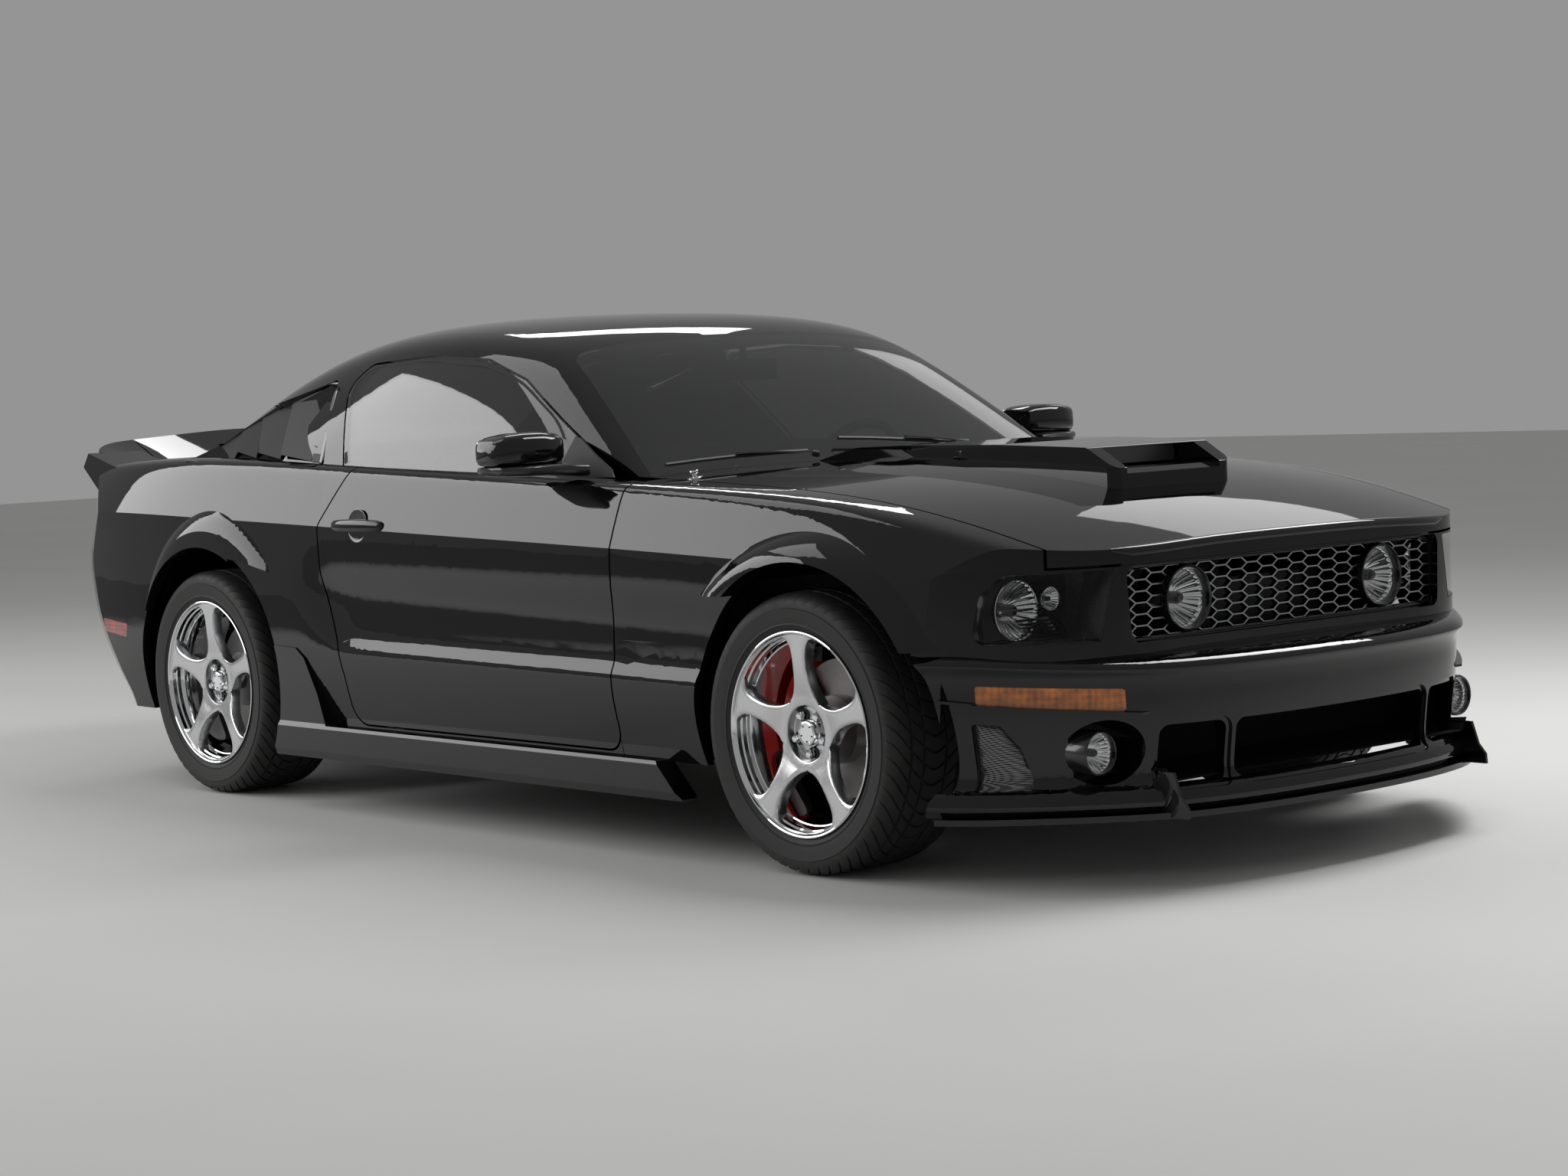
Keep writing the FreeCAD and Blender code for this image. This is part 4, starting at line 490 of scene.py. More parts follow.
side_wall = [(0.2380, 0.118), (0.2460, 0.124), (0.2520, 0.1275), (0.2600, 0.1320), (0.2610, 0.1342), (0.2640, 0.1342),
             (0.2650, 0.1335), (0.2800, 0.1365), (0.2990, 0.1373), (0.3000, 0.1375), (0.3010, 0.1355),
             (0.3140, 0.1350), (0.3240, 0.1295), (0.3310, 0.1205), (0.3350, 0.1100), (0.3368, 0.0980)]
outer_tread = [(0.3375, 0.0810), (0.3300, 0.0795), (0.3300, 0.0725), (0.3378, 0.0710), (0.3380, 0.0560),
               (0.3380, 0.0400), (0.3305, 0.0385), (0.3305, 0.0315), (0.3380, 0.0300), (0.3380, 0.0150)]
outer_half = side_wall + outer_tread
tyre_profile = outer_half + [(0.3380, 0.0)] + [(r, -width) for r, width in reversed(outer_half)]
pitches = 54
columns = [(0.0, False), (0.03, True), (0.17, True), (0.20, False), (0.60, False)]
tyre_points = []
for pitch_number in range(pitches):
    for share, pressed in columns:
        for r, width in tyre_profile:
            slant = 2.6 * (abs(width) / 0.12) ** 1.5
            angle = 2 * math.pi * (pitch_number + share + slant) / pitches
            groove = min(max((r - 0.318) / 0.012, 0.0), 1.0) * 0.0055 if pressed else 0.0
            reach = min(r, max(r - groove, 0.3305)) if abs(width) < 0.1 else r - groove
            tyre_points.append((reach * math.cos(angle), reach * math.sin(angle), width))
rows = len(tyre_profile)
turns = pitches * len(columns)
tyre_faces = []
for turn in range(turns):
    here, there = turn * rows, (turn + 1) % turns * rows
    tyre_faces += [(here + i, there + i, there + i + 1, here + i + 1) for i in range(rows)[:-1]]
    tyre_faces.append((here + rows - 1, there + rows - 1, there, here))
tyre_mesh = new_mesh("tyre", tyre_points, tyre_faces)
for axle in axles:
    for side in sides:
        show(f"tyre_{axle}_{side}_tread", tyre_mesh, rubber, f"wheel_{axle}_{side}", wheel_frame(axle, side),
             [f"tyre_{axle}_{side}"])
print("tyre faces", len(tyre_mesh.polygons))

# %% [markdown]
# The wheel is two pieces. The barrel is one turned profile, with the lip, the step behind it and the deep bright
# well. The star in front of it is one solid: at each radius a spoke has a half-angle, which is narrow in the middle
# and swells to the full 36 degrees at the hub, where the five spokes meet.

# %% Wheels
barrel_profile = [(0.2465, 0.1305), (0.2440, 0.1315), (0.2410, 0.1300), (0.2395, 0.1265), (0.2380, 0.1235),
                  (0.2345, 0.1210), (0.2335, 0.1100), (0.2295, 0.1070), (0.2275, 0.0920), (0.2200, 0.0880),
                  (0.2160, 0.0700), (0.2120, 0.0300), (0.2080, -0.0300), (0.2120, -0.0900), (0.2320, -0.1180),
                  (0.2465, -0.1305), (0.2440, -0.1180), (0.2160, -0.0900), (0.2120, -0.0300), (0.2160, 0.0300),
                  (0.2230, 0.0900), (0.2440, 0.1180), (0.2465, 0.1305)]
barrel_mesh = turned("barrel", barrel_profile, 96)
spoke_rows = [(0.0690, 36.0, 0.1035), (0.0720, 36.0, 0.1045), (0.0860, 36.0, 0.1055), (0.0905, 33.5, 0.1062),
              (0.0950, 27.0, 0.1072), (0.1020, 21.0, 0.1090), (0.1150, 15.0, 0.1120), (0.1350, 10.2, 0.1160),
              (0.1600, 8.0, 0.1190), (0.1850, 7.2, 0.1205), (0.2050, 7.6, 0.1214), (0.2200, 9.2, 0.1220),
              (0.2300, 11.5, 0.1228), (0.2365, 15.0, 0.1232), (0.2405, 20.0, 0.1235)]
spoke_count = 5
spoke_depth = 0.032
joined = 36.0
lug_circle, lug_height = 0.0500, 0.0805
screw_circle, screw_height = 0.0195, 0.1020
across_spoke = [(-1.0, 0.0055), (-0.95, 0.0018), (-0.86, 0.0003), (-0.5, 0.0), (0.0, 0.0), (0.5, 0.0),
                (0.86, 0.0003), (0.95, 0.0018), (1.0, 0.0055)]
star_points = []
star_faces = []
for spoke in range(spoke_count):
    middle = math.radians(90 + 360 / spoke_count * spoke)
    start = len(star_points)
    for r, half_angle, height in spoke_rows:
        drop_share = min((joined - half_angle) / 6.0, 1.0)
        for share, drop in across_spoke:
            angle = middle + math.radians(half_angle) * share
            star_points.append((r * math.cos(angle), r * math.sin(angle), height - drop * drop_share))
        for share, drop in reversed(across_spoke):
            angle = middle + math.radians(half_angle) * share
            star_points.append((r * math.cos(angle), r * math.sin(angle), height - spoke_depth))
    ring = 2 * len(across_spoke)
    columns_across = len(across_spoke)
    for row in range(len(spoke_rows) - 1):
        here, there = start + row * ring, start + (row + 1) * ring
        both_joined = spoke_rows[row][1] == joined and spoke_rows[row + 1][1] == joined
        for i in range(ring):
            is_wall = i in (columns_across - 1, ring - 1)
            if not (is_wall and both_joined):
                star_faces.append((here + i, here + (i + 1) % ring, there + (i + 1) % ring, there + i))
    for row in (0, len(spoke_rows) - 1):
        here = start + row * ring
        star_faces += [(here + i, here + i + 1, here + ring - 2 - i, here + ring - 1 - i)
                       for i in range(columns_across - 1)]
star_mesh = new_mesh("spokes", star_points, star_faces)
hub_mesh = turned("hub", [(0.0705, 0.1036), (0.0690, 0.1037), (0.0675, 0.1020), (0.0665, 0.0830), (0.0640, 0.0810),
                          (0.0340, 0.0800), (0.0335, 0.0880), (0.0320, 0.0900), (0.0, 0.0900)], 60)
cap_mesh = turned("cap", [(0.0300, 0.0890), (0.0300, 0.1000), (0.0285, 0.1030), (0.0250, 0.1040), (0.0235, 0.1022),
                          (0.0, 0.1022)], 48)
nut_mesh = turned("lug_nut", [(0.0110, 0.0), (0.0110, 0.016), (0.0085, 0.0195), (0.0060, 0.0200), (0.0, 0.0200)], 6)
well_mesh = turned("lug_well", [(0.0165, 0.0), (0.0165, 0.004), (0.0150, 0.0048), (0.0135, 0.004), (0.0130, 0.0005),
                                (0.0, 0.0005)], 32)
screw_mesh = turned("cap_screw", [(0.0024, 0.0), (0.0024, 0.0012), (0.0016, 0.0018), (0.0, 0.0018)], 12)
for axle in axles:
    for side in sides:
        body = f"wheel_{axle}_{side}"
        frame_here = wheel_frame(axle, side)
        show(f"barrel_{axle}_{side}", barrel_mesh, chrome, body, frame_here, [f"rim_{axle}_{side}"])
        show(f"spokes_{axle}_{side}", star_mesh, spoke_metal, body, frame_here)
        show(f"hub_{axle}_{side}", hub_mesh, spoke_metal, body, frame_here)
        show(f"cap_{axle}_{side}", cap_mesh, chrome, body, frame_here)
        for number in range(spoke_count):
            angle = math.radians(126 + 360 / spoke_count * number)
            lug_place = Matrix.Translation((lug_circle * math.cos(angle), lug_circle * math.sin(angle), lug_height))
            # Each nut sits in a gloss black dish: painted shade for the recess around it.
            show(f"lug_well_{axle}_{side}_{number}", well_mesh, gloss_trim, body, frame_here @ lug_place)
            show(f"lug_nut_{axle}_{side}_{number}", nut_mesh, chrome, body, frame_here @ lug_place)
            screw_place = Matrix.Translation((screw_circle * math.cos(angle), screw_circle * math.sin(angle),
                                              screw_height))
            show(f"cap_screw_{axle}_{side}_{number}", screw_mesh, chrome, body, frame_here @ screw_place)
print("star faces", len(star_mesh.polygons))

# %% [markdown]
# A round lamp is four pieces around one axis: a black bezel, a chrome bowl, a shield that hides the bulb and a domed
# glass. The bowl is a paraboloid whose rows are pushed in and out by a cosine, which gives it flutes. The same unit,
# drawn for a lens of 70 mm radius, is scaled for the fog lamps and used without its bezel inside the headlamps.

# %% Lamp units
bezel_mesh = turned("lamp_bezel", [(0.0794, -0.010), (0.0794, 0.078), (0.0765, 0.0858), (0.0735, 0.0870),
                                   (0.0708, 0.0840), (0.0703, 0.0750), (0.0700, 0.0100), (0.0700, -0.010)])
bowl_points = []
bowl_faces = []
flutes = 28
bowl_steps = flutes * 6
bowl_rows = 14
for step in range(bowl_steps):
    angle = 2 * math.pi * step / bowl_steps
    for row in range(bowl_rows + 1):
        share = row / bowl_rows
        wave = 0.0016 * math.cos(flutes * angle) * share
        radius = 0.014 + 0.0545 * share
        depth = 0.012 + 0.050 * share ** 2 + wave
        bowl_points.append((radius * math.cos(angle), radius * math.sin(angle), depth))
    here, there = step * (bowl_rows + 1), (step + 1) % bowl_steps * (bowl_rows + 1)
    bowl_faces += [(here + i, there + i, there + i + 1, here + i + 1) for i in range(bowl_rows)]
bowl_mesh = new_mesh("lamp_bowl", bowl_points, bowl_faces)
shield_mesh = turned("bulb_shield", [(0.0150, 0.010), (0.0150, 0.040), (0.0140, 0.052), (0.0100, 0.058),
                                     (0.0, 0.060)], 32)
dome = [(0.0700 * math.sin(math.radians(a)), 0.079 + 0.0075 * math.cos(math.radians(a))) for a in range(90, -1, -10)]
glass_mesh = turned("lamp_glass", [(0.0700, 0.076)] + dome, 64)
rim_mesh = turned("bowl_rim", [(0.0690, 0.058), (0.0702, 0.060), (0.0702, 0.066), (0.0680, 0.066), (0.0672, 0.062),
                               (0.0690, 0.058)], 64)


def lamp_unit(name, at, stands_for=(), with_bezel=True):
    show(f"{name}_bowl", bowl_mesh, chrome, "root", at, stands_for, wall=0.0015)
    show(f"{name}_shield", shield_mesh, gloss_trim, "root", at)
    show(f"{name}_rim", rim_mesh, chrome, "root", at)
    if with_bezel:
        show(f"{name}_bezel", bezel_mesh, gloss_trim, "root", at)
        show(f"{name}_glass", glass_mesh, clear_lens, "root", at, wall=0.002)


bezel_radius, bezel_front = 0.0794, 0.0870
round_low, round_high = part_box("round_lamps")
fog_low, fog_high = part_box("fog_lamps")
round_radius = (round_high.z - round_low.z) / 2
fog_radius = (fog_high.z - fog_low.z) / 2
fog_scale = fog_radius / bezel_radius
for side, sign in sides.items():
    place = (round_high.x - bezel_front, sign * (round_high.y - round_radius), (round_low.z + round_high.z) / 2)
    lamp_unit(f"round_lamp_{side}", aim(place, (1, 0, 0)), ["round_lamps"])
    place = (fog_high.x - bezel_front * fog_scale, sign * (fog_high.y - fog_radius), (fog_low.z + fog_high.z) / 2)
    lamp_unit(f"fog_lamp_{side}", aim(place, (1, 0, 0)) @ Matrix.Scale(fog_scale, 4), ["fog_lamps"])

# %% [markdown]
# The headlamp's solid already has the right outline, so its skin is reused. Its front faces become the clear lens,
# and its side walls become the dark housing, which is open at the back. Behind it, in the hollow of the fender, stand
# the main bowl, a smaller second bowl, a bright bar across and a ribbed step below.


# %% Headlamps
def is_lens(centre, normal):
    return normal.x > 0.25 and abs(normal.z) < 0.6


lens_mesh = part_of("headlamp_lens", "headlamps", is_lens)
housing_mesh = part_of("headlamp_housing", "headlamps",
                       lambda centre, normal: normal.x > -0.4 and not is_lens(centre, normal))
show("headlamp_lenses", lens_mesh, clear_lens, "root", None, ["headlamps"], wall=0.0025)
show("headlamp_housings", housing_mesh, trim, "root", None, wall=0.002)
for side, sign in sides.items():
    main = aim((1.930, sign * 0.733, 0.633), (1, 0, 0))
    lamp_unit(f"headlamp_{side}", main, (), False)
    small = aim((2.000, sign * 0.655, 0.655), (1, 0, 0)) @ Matrix.Scale(0.40, 4)
    lamp_unit(f"sidelight_{side}", small, (), False)
    bar = [(-0.055, -0.003), (0.055, -0.003), (0.055, 0.003), (-0.055, 0.003)]
    show(f"headlamp_bar_{side}", plate("lamp_bar", bar, 0.004), chrome, "root",
         aim((1.991, sign * 0.733, 0.633), (1, 0, 0)), bevel=0.0008)
    for number in range(6):
        inner = -0.030 + 0.004 * number
        rib = [(inner, -0.0025), (0.070, -0.0025), (0.070, 0.0025), (inner, 0.0025)]
        show(f"headlamp_rib_{side}_{number}", plate("lamp_rib", [(a * -sign, b) for a, b in rib], 0.010), gloss_trim,
             "root", aim((1.985 + 0.006 * number, sign * 0.700, 0.585 - 0.0085 * number + 0.024), (1, 0, 0)))
    backing = [(-0.085, -0.078), (0.085, -0.078), (0.085, 0.082), (-0.085, 0.082)]
    show(f"headlamp_backing_{side}", plate("lamp_backing", backing, 0.004), trim, "root",
         aim((1.915, sign * 0.715, 0.640), (1, sign * -0.35, 0)), bevel=0.001)

# %% [markdown]
# The grille is a honeycomb of wide, flat hexagons. Each cell is a ring of six walls: its outer corners are shared
# with its neighbours, and its inner corners lie a little closer to its centre. Cells that would cross the frame are
# clamped to it, those that would cross a round lamp are pushed out to its rim, and one ring frames them all.

# %% Honeycomb grille
grille_low, grille_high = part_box("grille")
grille_z = (grille_low.z + grille_high.z) / 2
half_wide = grille_high.y - 0.006
half_tall = (grille_high.z - grille_low.z) / 2 - 0.006
column_pitch = 0.0550
row_pitch = 0.0262
cell_wall = 0.0032
lamp_y = round_high.y - round_radius
lamp_z = (round_low.z + round_high.z) / 2 - grille_z
lamp_hole = round_radius - 0.003
hexagon = [(0.667, 0.0), (0.333, 0.5), (-0.333, 0.5), (-0.667, 0.0), (-0.333, -0.5), (0.333, -0.5)]
comb_points = []
comb_faces = []
column_count = math.ceil(half_wide / column_pitch)
row_count = math.ceil(half_tall / row_pitch)
for column in range(-column_count, column_count + 1):
    for row in range(-row_count, row_count + 2):
        centre_y = column * column_pitch
        centre_z = (row - 0.5 * (column % 2)) * row_pitch
        outside = abs(centre_y) > half_wide + 0.3 * column_pitch or abs(centre_z) > half_tall + 0.45 * row_pitch
        if outside or math.hypot(abs(centre_y) - lamp_y, centre_z - lamp_z) < lamp_hole - 0.004:
            continue
        start = len(comb_points)
        for thin, x in ((0.0, grille_high.x), (cell_wall, grille_high.x), (cell_wall, grille_low.x),
                        (0.0, grille_low.x)):
            for a, b in hexagon:
                y = centre_y + a * (column_pitch - thin * 1.27)
                z = centre_z + b * (row_pitch - thin)
                y = min(max(y, -half_wide), half_wide)
                z = min(max(z, -half_tall), half_tall)
                out_y, out_z = abs(y) - lamp_y, z - lamp_z
                push = max(lamp_hole / max(math.hypot(out_y, out_z), 1e-6), 1.0)
                comb_points.append((x, math.copysign(lamp_y + out_y * push, y), grille_z + lamp_z + out_z * push))
        for ring in range(3):
            here, there = start + ring * 6, start + (ring + 1) * 6
            comb_faces += [(here + i, here + (i + 1) % 6, there + (i + 1) % 6, there + i) for i in range(6)]
show("grille_comb", new_mesh("grille_comb", comb_points, comb_faces), grille_finish, "root", None,
     ["grille"])
frame_ring = []
for grow, x in ((0.0, grille_low.x), (0.0, grille_high.x), (-0.009, grille_high.x), (-0.009, grille_low.x)):
    frame_ring.append([(x, y, grille_z + z) for y, z in squircle(grille_high.y + grow, half_tall + 0.006 + grow, 64,
                                                                0.16)])
show("grille_frame", loft("grille_frame", frame_ring, True), gloss_trim)
print("grille cells", len(comb_points) // 24)

# %% [markdown]
# Openings in the bumper lead into the dark, with a fine mesh at the back of some. A woven mesh is a pattern rather
# than a shape at this size: two sets of slanting wires, from a modulo of two slanting distances, whose holes are
# painted near black as painted shade for the dark behind them. The corner vents keep the exact floor of their
# pockets: those faces of the bumper are copied and lifted by half a millimetre.

# %% Meshes behind openings
woven = Finish("woven_wire_mesh", Metallic=0.7)
mesh_x, mesh_y, mesh_z = woven.axes()
wire = 0.0045
along_one = ((mesh_x - mesh_y + mesh_z) % wire) / wire
along_two = ((mesh_x - mesh_y - mesh_z) % wire) / wire
wires = along_one.maths("MAXIMUM", abs(along_one - 0.5) > 0.30, abs(along_two - 0.5) > 0.30)
# Holes between the wires are painted near black: painted shade for the dark behind the mesh.
woven.feed("Base Color", woven.blend(wires, (0.006, 0.006, 0.006), (0.20, 0.20, 0.205)))
woven.feed("Roughness", 0.7 - 0.35 * wires)
woven.bump(wires, 0.6, 0.001)
front_axle = axles["front"]
front_overhang = 0.920
rear_overhang = 1.062
belt_height, roof_rise = 0.972, 0.406
wheelbase = axles["front"] - axles["rear"]
vent_corners = [(0.562, 0.243), (0.672, 0.243), (0.652, 0.343), (0.620, 0.395), (0.565, 0.400)]


def in_outline(x, z, corners):
    """Even-odd rule: a point is inside when a line from it crosses the outline an odd number of times."""
    inside = False
    for (x0, z0), (x1, z1) in zip(corners, corners[1:] + corners[:1]):
        if (z0 > z) != (z1 > z) and x < (x1 - x0) * (z - z0) / (z1 - z0) + x0:
            inside = not inside
    return inside


def on_vent_floor(centre, normal):
    share = (centre.x - front_axle) / front_overhang
    inside = in_outline(share, centre.z / belt_height, [(a, z - 0.006) for a, z in vent_corners])
    return inside and normal.x > 0.3 and abs(normal.y) > 0.4 and centre.y * normal.y > 0


vent_mesh = part_of("vent_mesh", "front_bumper", on_vent_floor)
print("vent faces", len(vent_mesh.polygons))
for vertex in vent_mesh.vertices:
    vertex.co = vertex.co + vertex.normal * 0.0008
show("corner_vent_mesh", vent_mesh, woven, wall=0.0006)
skins = {}


def skin_at(node, start, way):
    """Where a line from start along way first meets a CAD node, in its rest place."""
    if node not in skins:
        mesh = nodes[node].data
        corners = [vertex.co for vertex in mesh.vertices]
        skins[node] = BVHTree.FromPolygons(corners, [list(face.vertices) for face in mesh.polygons])
    return skins[node].ray_cast(Vector(start), Vector(way))[0]


# %% [markdown]
# A sharp edge has no width, so it catches no light. The hood's front edge carries a narrow lip with a sloping face,
# slightly crowned. Its path is found on the solid: for each y, one ray meets the front face and a second one, from
# above, meets the top.

# %% A lip that catches the light
lip_section = [(-0.0130, -0.006), (-0.0105, 0.0035), (-0.0035, 0.0035), (0.0015, 0.0005), (0.0055, -0.0045),
               (0.0070, -0.0110), (0.0050, -0.0180)]


def edge_lip(name, node, half, probe_z, body, count=48):
    rings = []
    for step in range(count + 1):
        y = half * (2.0 * step / count - 1.0)
        front = skin_at(node, (3.0, y, probe_z), (-1, 0, 0))
        top = skin_at(node, (front.x - 0.004, y, 2.0), (0, 0, -1))
        fade = 0.35 + 0.65 * min((half - abs(y)) / 0.05, 1.0)
        rings.append([(front.x + a * fade, y, top.z + b * fade) for a, b in lip_section])
    return show(name, loft(name, rings), paint, body)


edge_lip("hood_lip", "hood", 0.600, 0.745, "hood")

# %% [markdown]
# The lower bays need a floor and a back, or the ground would show through them. A duct tray closes them from below:
# it is a shallow pan, bent up at its edges, with a flat back standing behind it. Tray, back and cheeks are dull near
# black: dark sheets that paint the shade inside the bays.

# %% Duct tray and bay meshes
tray_path = [(2.262, 0, 0.238), (2.20, 0, 0.233), (2.10, 0, 0.236), (2.045, 0, 0.262)]
tray_rings = []
for x, y, z in tray_path:
    half = 0.548
    tray_rings.append([(x, -half, z + 0.03), (x, -half + 0.02, z), (x, half - 0.02, z), (x, half, z + 0.03),
                       (x, half, z + 0.034), (x, half - 0.022, z + 0.004), (x, -half + 0.022, z + 0.004),
                       (x, -half, z + 0.034)])
# Dull near black for the sheets inside openings: painted shade where the inside of the car is dark.
shade_black = Finish("dull_black_painted_shade", Base_Color=(0.006, 0.006, 0.006), Specular_IOR_Level=0.15)
shade_black.feed("Roughness", 0.75 + 0.2 * shade_black.noise(60.0))
show("duct_tray", loft("duct_tray", tray_rings), shade_black)
screen = [(-0.545, -0.125), (0.545, -0.125), (0.551, -0.06), (0.551, 0.115), (-0.551, 0.115), (-0.551, -0.06)]
show("bay_back", plate("bay_back", screen, 0.003), shade_black, "root", aim((2.064, 0, 0.375), (1, 0, 0)))
for side, sign in sides.items():
    cheek = [[(x, sign * y, z) for x, z in ((2.050, 0.236), (2.170, 0.236), (2.170, 0.480), (2.050, 0.492))]
             for y in (0.5475, 0.5505)]
    show(f"duct_cheek_{side}", loft("duct_cheek", cheek), shade_black)
# The scoop's mouth gets a plate of the woven mesh, whose near-black holes paint the shade inside the scoop.
scoop_screen = [(-0.155, 0.933), (0.155, 0.933), (0.160, 0.955), (0.148, 0.979), (-0.148, 0.979), (-0.160, 0.955)]
show("scoop_mesh", plate("scoop_mesh", [(y, z - 0.956) for y, z in scoop_screen], 0.003), woven, "hood",
     aim((1.680, 0, 0.956), (1, 0, 0)))

# %% [markdown]
# Each mirror is two lofts: the painted cap above, and the black base that carries it out from the door below. Their
# rings are rounded rectangles whose size swells and then closes at the tip. The same rings serve the left mirror,
# with the sign of y turned round.

# %% Door mirrors
cap_rings = [(0.852, 0.428, 1.022, 0.040, 0.022), (0.858, 0.428, 1.023, 0.060, 0.034),
             (0.875, 0.428, 1.024, 0.071, 0.041), (0.930, 0.430, 1.025, 0.079, 0.0450),
             (0.985, 0.430, 1.0245, 0.078, 0.0440), (1.030, 0.427, 1.022, 0.070, 0.040),
             (1.052, 0.422, 1.019, 0.054, 0.032), (1.060, 0.418, 1.016, 0.034, 0.019)]
base_rings = [(0.834, 0.530, 0.966, 0.034, 0.016), (0.850, 0.522, 0.967, 0.040, 0.016),
              (0.880, 0.490, 0.970, 0.058, 0.016), (0.920, 0.455, 0.972, 0.074, 0.016),
              (0.980, 0.438, 0.972, 0.077, 0.016), (1.030, 0.432, 0.973, 0.070, 0.014),
              (1.054, 0.428, 0.975, 0.054, 0.010), (1.0605, 0.424, 0.977, 0.030, 0.005)]
sail_outline = [(0.405, 0.944), (0.407, 1.0), (0.4155, 1.052), (0.440, 1.046), (0.520, 1.003), (0.600, 0.965),
                (0.622, 0.944)]
mirror_finish = Finish("silvered_glass", Base_Color=(0.75, 0.77, 0.79), Metallic=1.0)
mirror_finish.feed("Roughness", 0.01 + 0.02 * mirror_finish.noise(4.0))


def sail_y(x, z):
    """The door's corner ahead of its glass is a plane, met by the sail: y out from the middle at x, z."""
    return 0.772 - (0.11 * (x - 0.3365) + 0.52 * (z - 1.0527)) / 0.85 - 0.004


for side, sign in sides.items():
    door = f"door_{side}"
    cap, foot = [[[(x + a, sign * y, z + b) for a, b in squircle(wide, tall, 28)] for y, x, z, wide, tall in rings]
                 for rings in (cap_rings, base_rings)]
    show(f"mirror_cap_{side}", loft("mirror_cap", cap), paint, door,
         stands_for=[f"door_mirror_{side}"])
    show(f"mirror_base_{side}", loft("mirror_base", foot), gloss_trim, door)
    glass = squircle(0.080, 0.035, 28, 0.42)
    show(f"mirror_glass_{side}", plate("mirror_glass", glass, 0.003), mirror_finish, door,
         aim((0.3505, sign * 0.955, 1.0235), (-1, 0, 0.04)))
    sail = []
    for depth in (0.0, 0.006):
        sail.append([(x, sign * (sail_y(x, z) + depth), z) for x, z in sail_outline])
    show(f"mirror_sail_{side}", loft("mirror_sail", sail), trim, door, bevel=0.001)

# %% [markdown]
# The door handle is a rounded bar across a round cup. The cup is a shallow dish whose rim stands half a millimetre
# proud of the door skin; it reads as a hollow because its floor is dark and its rim catches the light.

# %% Door handles
cup_mesh = turned("handle_cup", [(0.0475, -0.001), (0.0475, 0.0008), (0.0460, 0.0014), (0.0440, 0.0008),
                                 (0.0400, 0.0004), (0.0, 0.0002)], 48)
bar_rows = [(-0.125, 0.004, 0.004, -0.003), (-0.121, 0.010, 0.006, 0.002), (-0.105, 0.0155, 0.0085, 0.006),
            (-0.060, 0.0175, 0.0085, 0.0085), (0.0, 0.0180, 0.0085, 0.0095), (0.060, 0.0175, 0.0085, 0.0085),
            (0.105, 0.0155, 0.0085, 0.006), (0.121, 0.010, 0.006, 0.002), (0.125, 0.004, 0.004, -0.003)]
for side, sign in sides.items():
    door = f"door_{side}"
    at = aim((-0.409, sign * 0.9225, 0.8200), (0.02, sign * 0.985, 0.10))
    show(f"handle_cup_{side}", cup_mesh, gloss_trim, door, at)
    bar = [[(x, b, height + a) for a, b in squircle(thick, tall, 20, 0.8)] for x, tall, thick, height in bar_rows]
    show(f"handle_bar_{side}", loft("handle_bar", bar), paint, door, at)

# %% [markdown]
# Wipers lie at the foot of the windshield. Each has an arm that comes from a pivot under the hood's rear edge, and a
# blade along a path read off the glass. The hood pins are a small plate, a post and a knurled knob each.

# %% Wipers and hood pins
blade_paths = {
    "right": [(0.714, -0.703, 0.966), (0.722, -0.600, 0.972), (0.732, -0.481, 0.977), (0.743, -0.359, 0.980),
              (0.751, -0.251, 0.980)],
    "left": [(0.715, -0.108, 1.008), (0.723, 0.000, 1.002), (0.734, 0.120, 0.993), (0.743, 0.240, 0.983),
             (0.752, 0.344, 0.978)]}
blade_section = [(-0.004, 0.0), (0.004, 0.0), (0.0045, 0.006), (0.0020, 0.010), (-0.0020, 0.010), (-0.0045, 0.006)]
arm_section = [(-0.006, 0.0), (0.006, 0.0), (0.005, 0.004), (-0.005, 0.004)]
pivot_mesh = turned("wiper_pivot", [(0.0110, -0.004), (0.0110, 0.006), (0.0090, 0.0095), (0.0, 0.0105)], 24)
for side, path in blade_paths.items():
    show(f"wiper_blade_{side}", swept("wiper_blade", path, blade_section), trim,
         stands_for=["wipers"])
    middle, tip = Vector(path[2]), Vector(path[4])
    foot = tip + Vector((0.014, 0.018, -0.006))
    arm = [middle + Vector((0.002, 0.0, 0.012)), middle + (foot - middle) * 0.5 + Vector((0.003, 0, 0.010)),
           foot + Vector((0, 0, 0.004))]
    show(f"wiper_arm_{side}", swept("wiper_arm", arm, arm_section), trim)
    show(f"wiper_pivot_{side}", pivot_mesh, trim, "root", aim(foot, (0.3, 0, 1), (1, 0, 0)))
pin_mesh = turned("hood_pin", [(0.0200, -0.001), (0.0200, 0.0015), (0.0190, 0.0025), (0.0060, 0.0028), (0.0055, 0.012),
                               (0.0105, 0.0125), (0.0115, 0.0140), (0.0115, 0.0185), (0.0105, 0.0200), (0.0, 0.0205)],
                  36)
for side, sign in sides.items():
    show(f"hood_pin_{side}", pin_mesh, chrome, "hood",
         aim((0.870, sign * 0.735, 0.9385), (0, sign * 0.2, 1), (1, 0, 0)))

# %% [markdown]
# The quarter windows are covered by louvres: a flush frame, a dull black plate behind it as painted shade in place
# of the dark window, and three slats that overlap like shingles. The rear edge of each slat stands proud of the skin
# and its front edge lies flush, so each leaves a dark wedge at its foot. The outline is given in shares of the
# wheelbase and of the height, like the solids, and a ray from the side finds the skin at each point. The door glass
# gets its black border from the same function.


# %% Borders of the side windows
def share_point(along, up):
    x = axles["front"] - along * wheelbase if along < 1 else axles["rear"] - (along - 1) * rear_overhang
    z = belt_height * up if up < 1 else belt_height + (up - 1) * roof_rise
    return Vector((x, z))


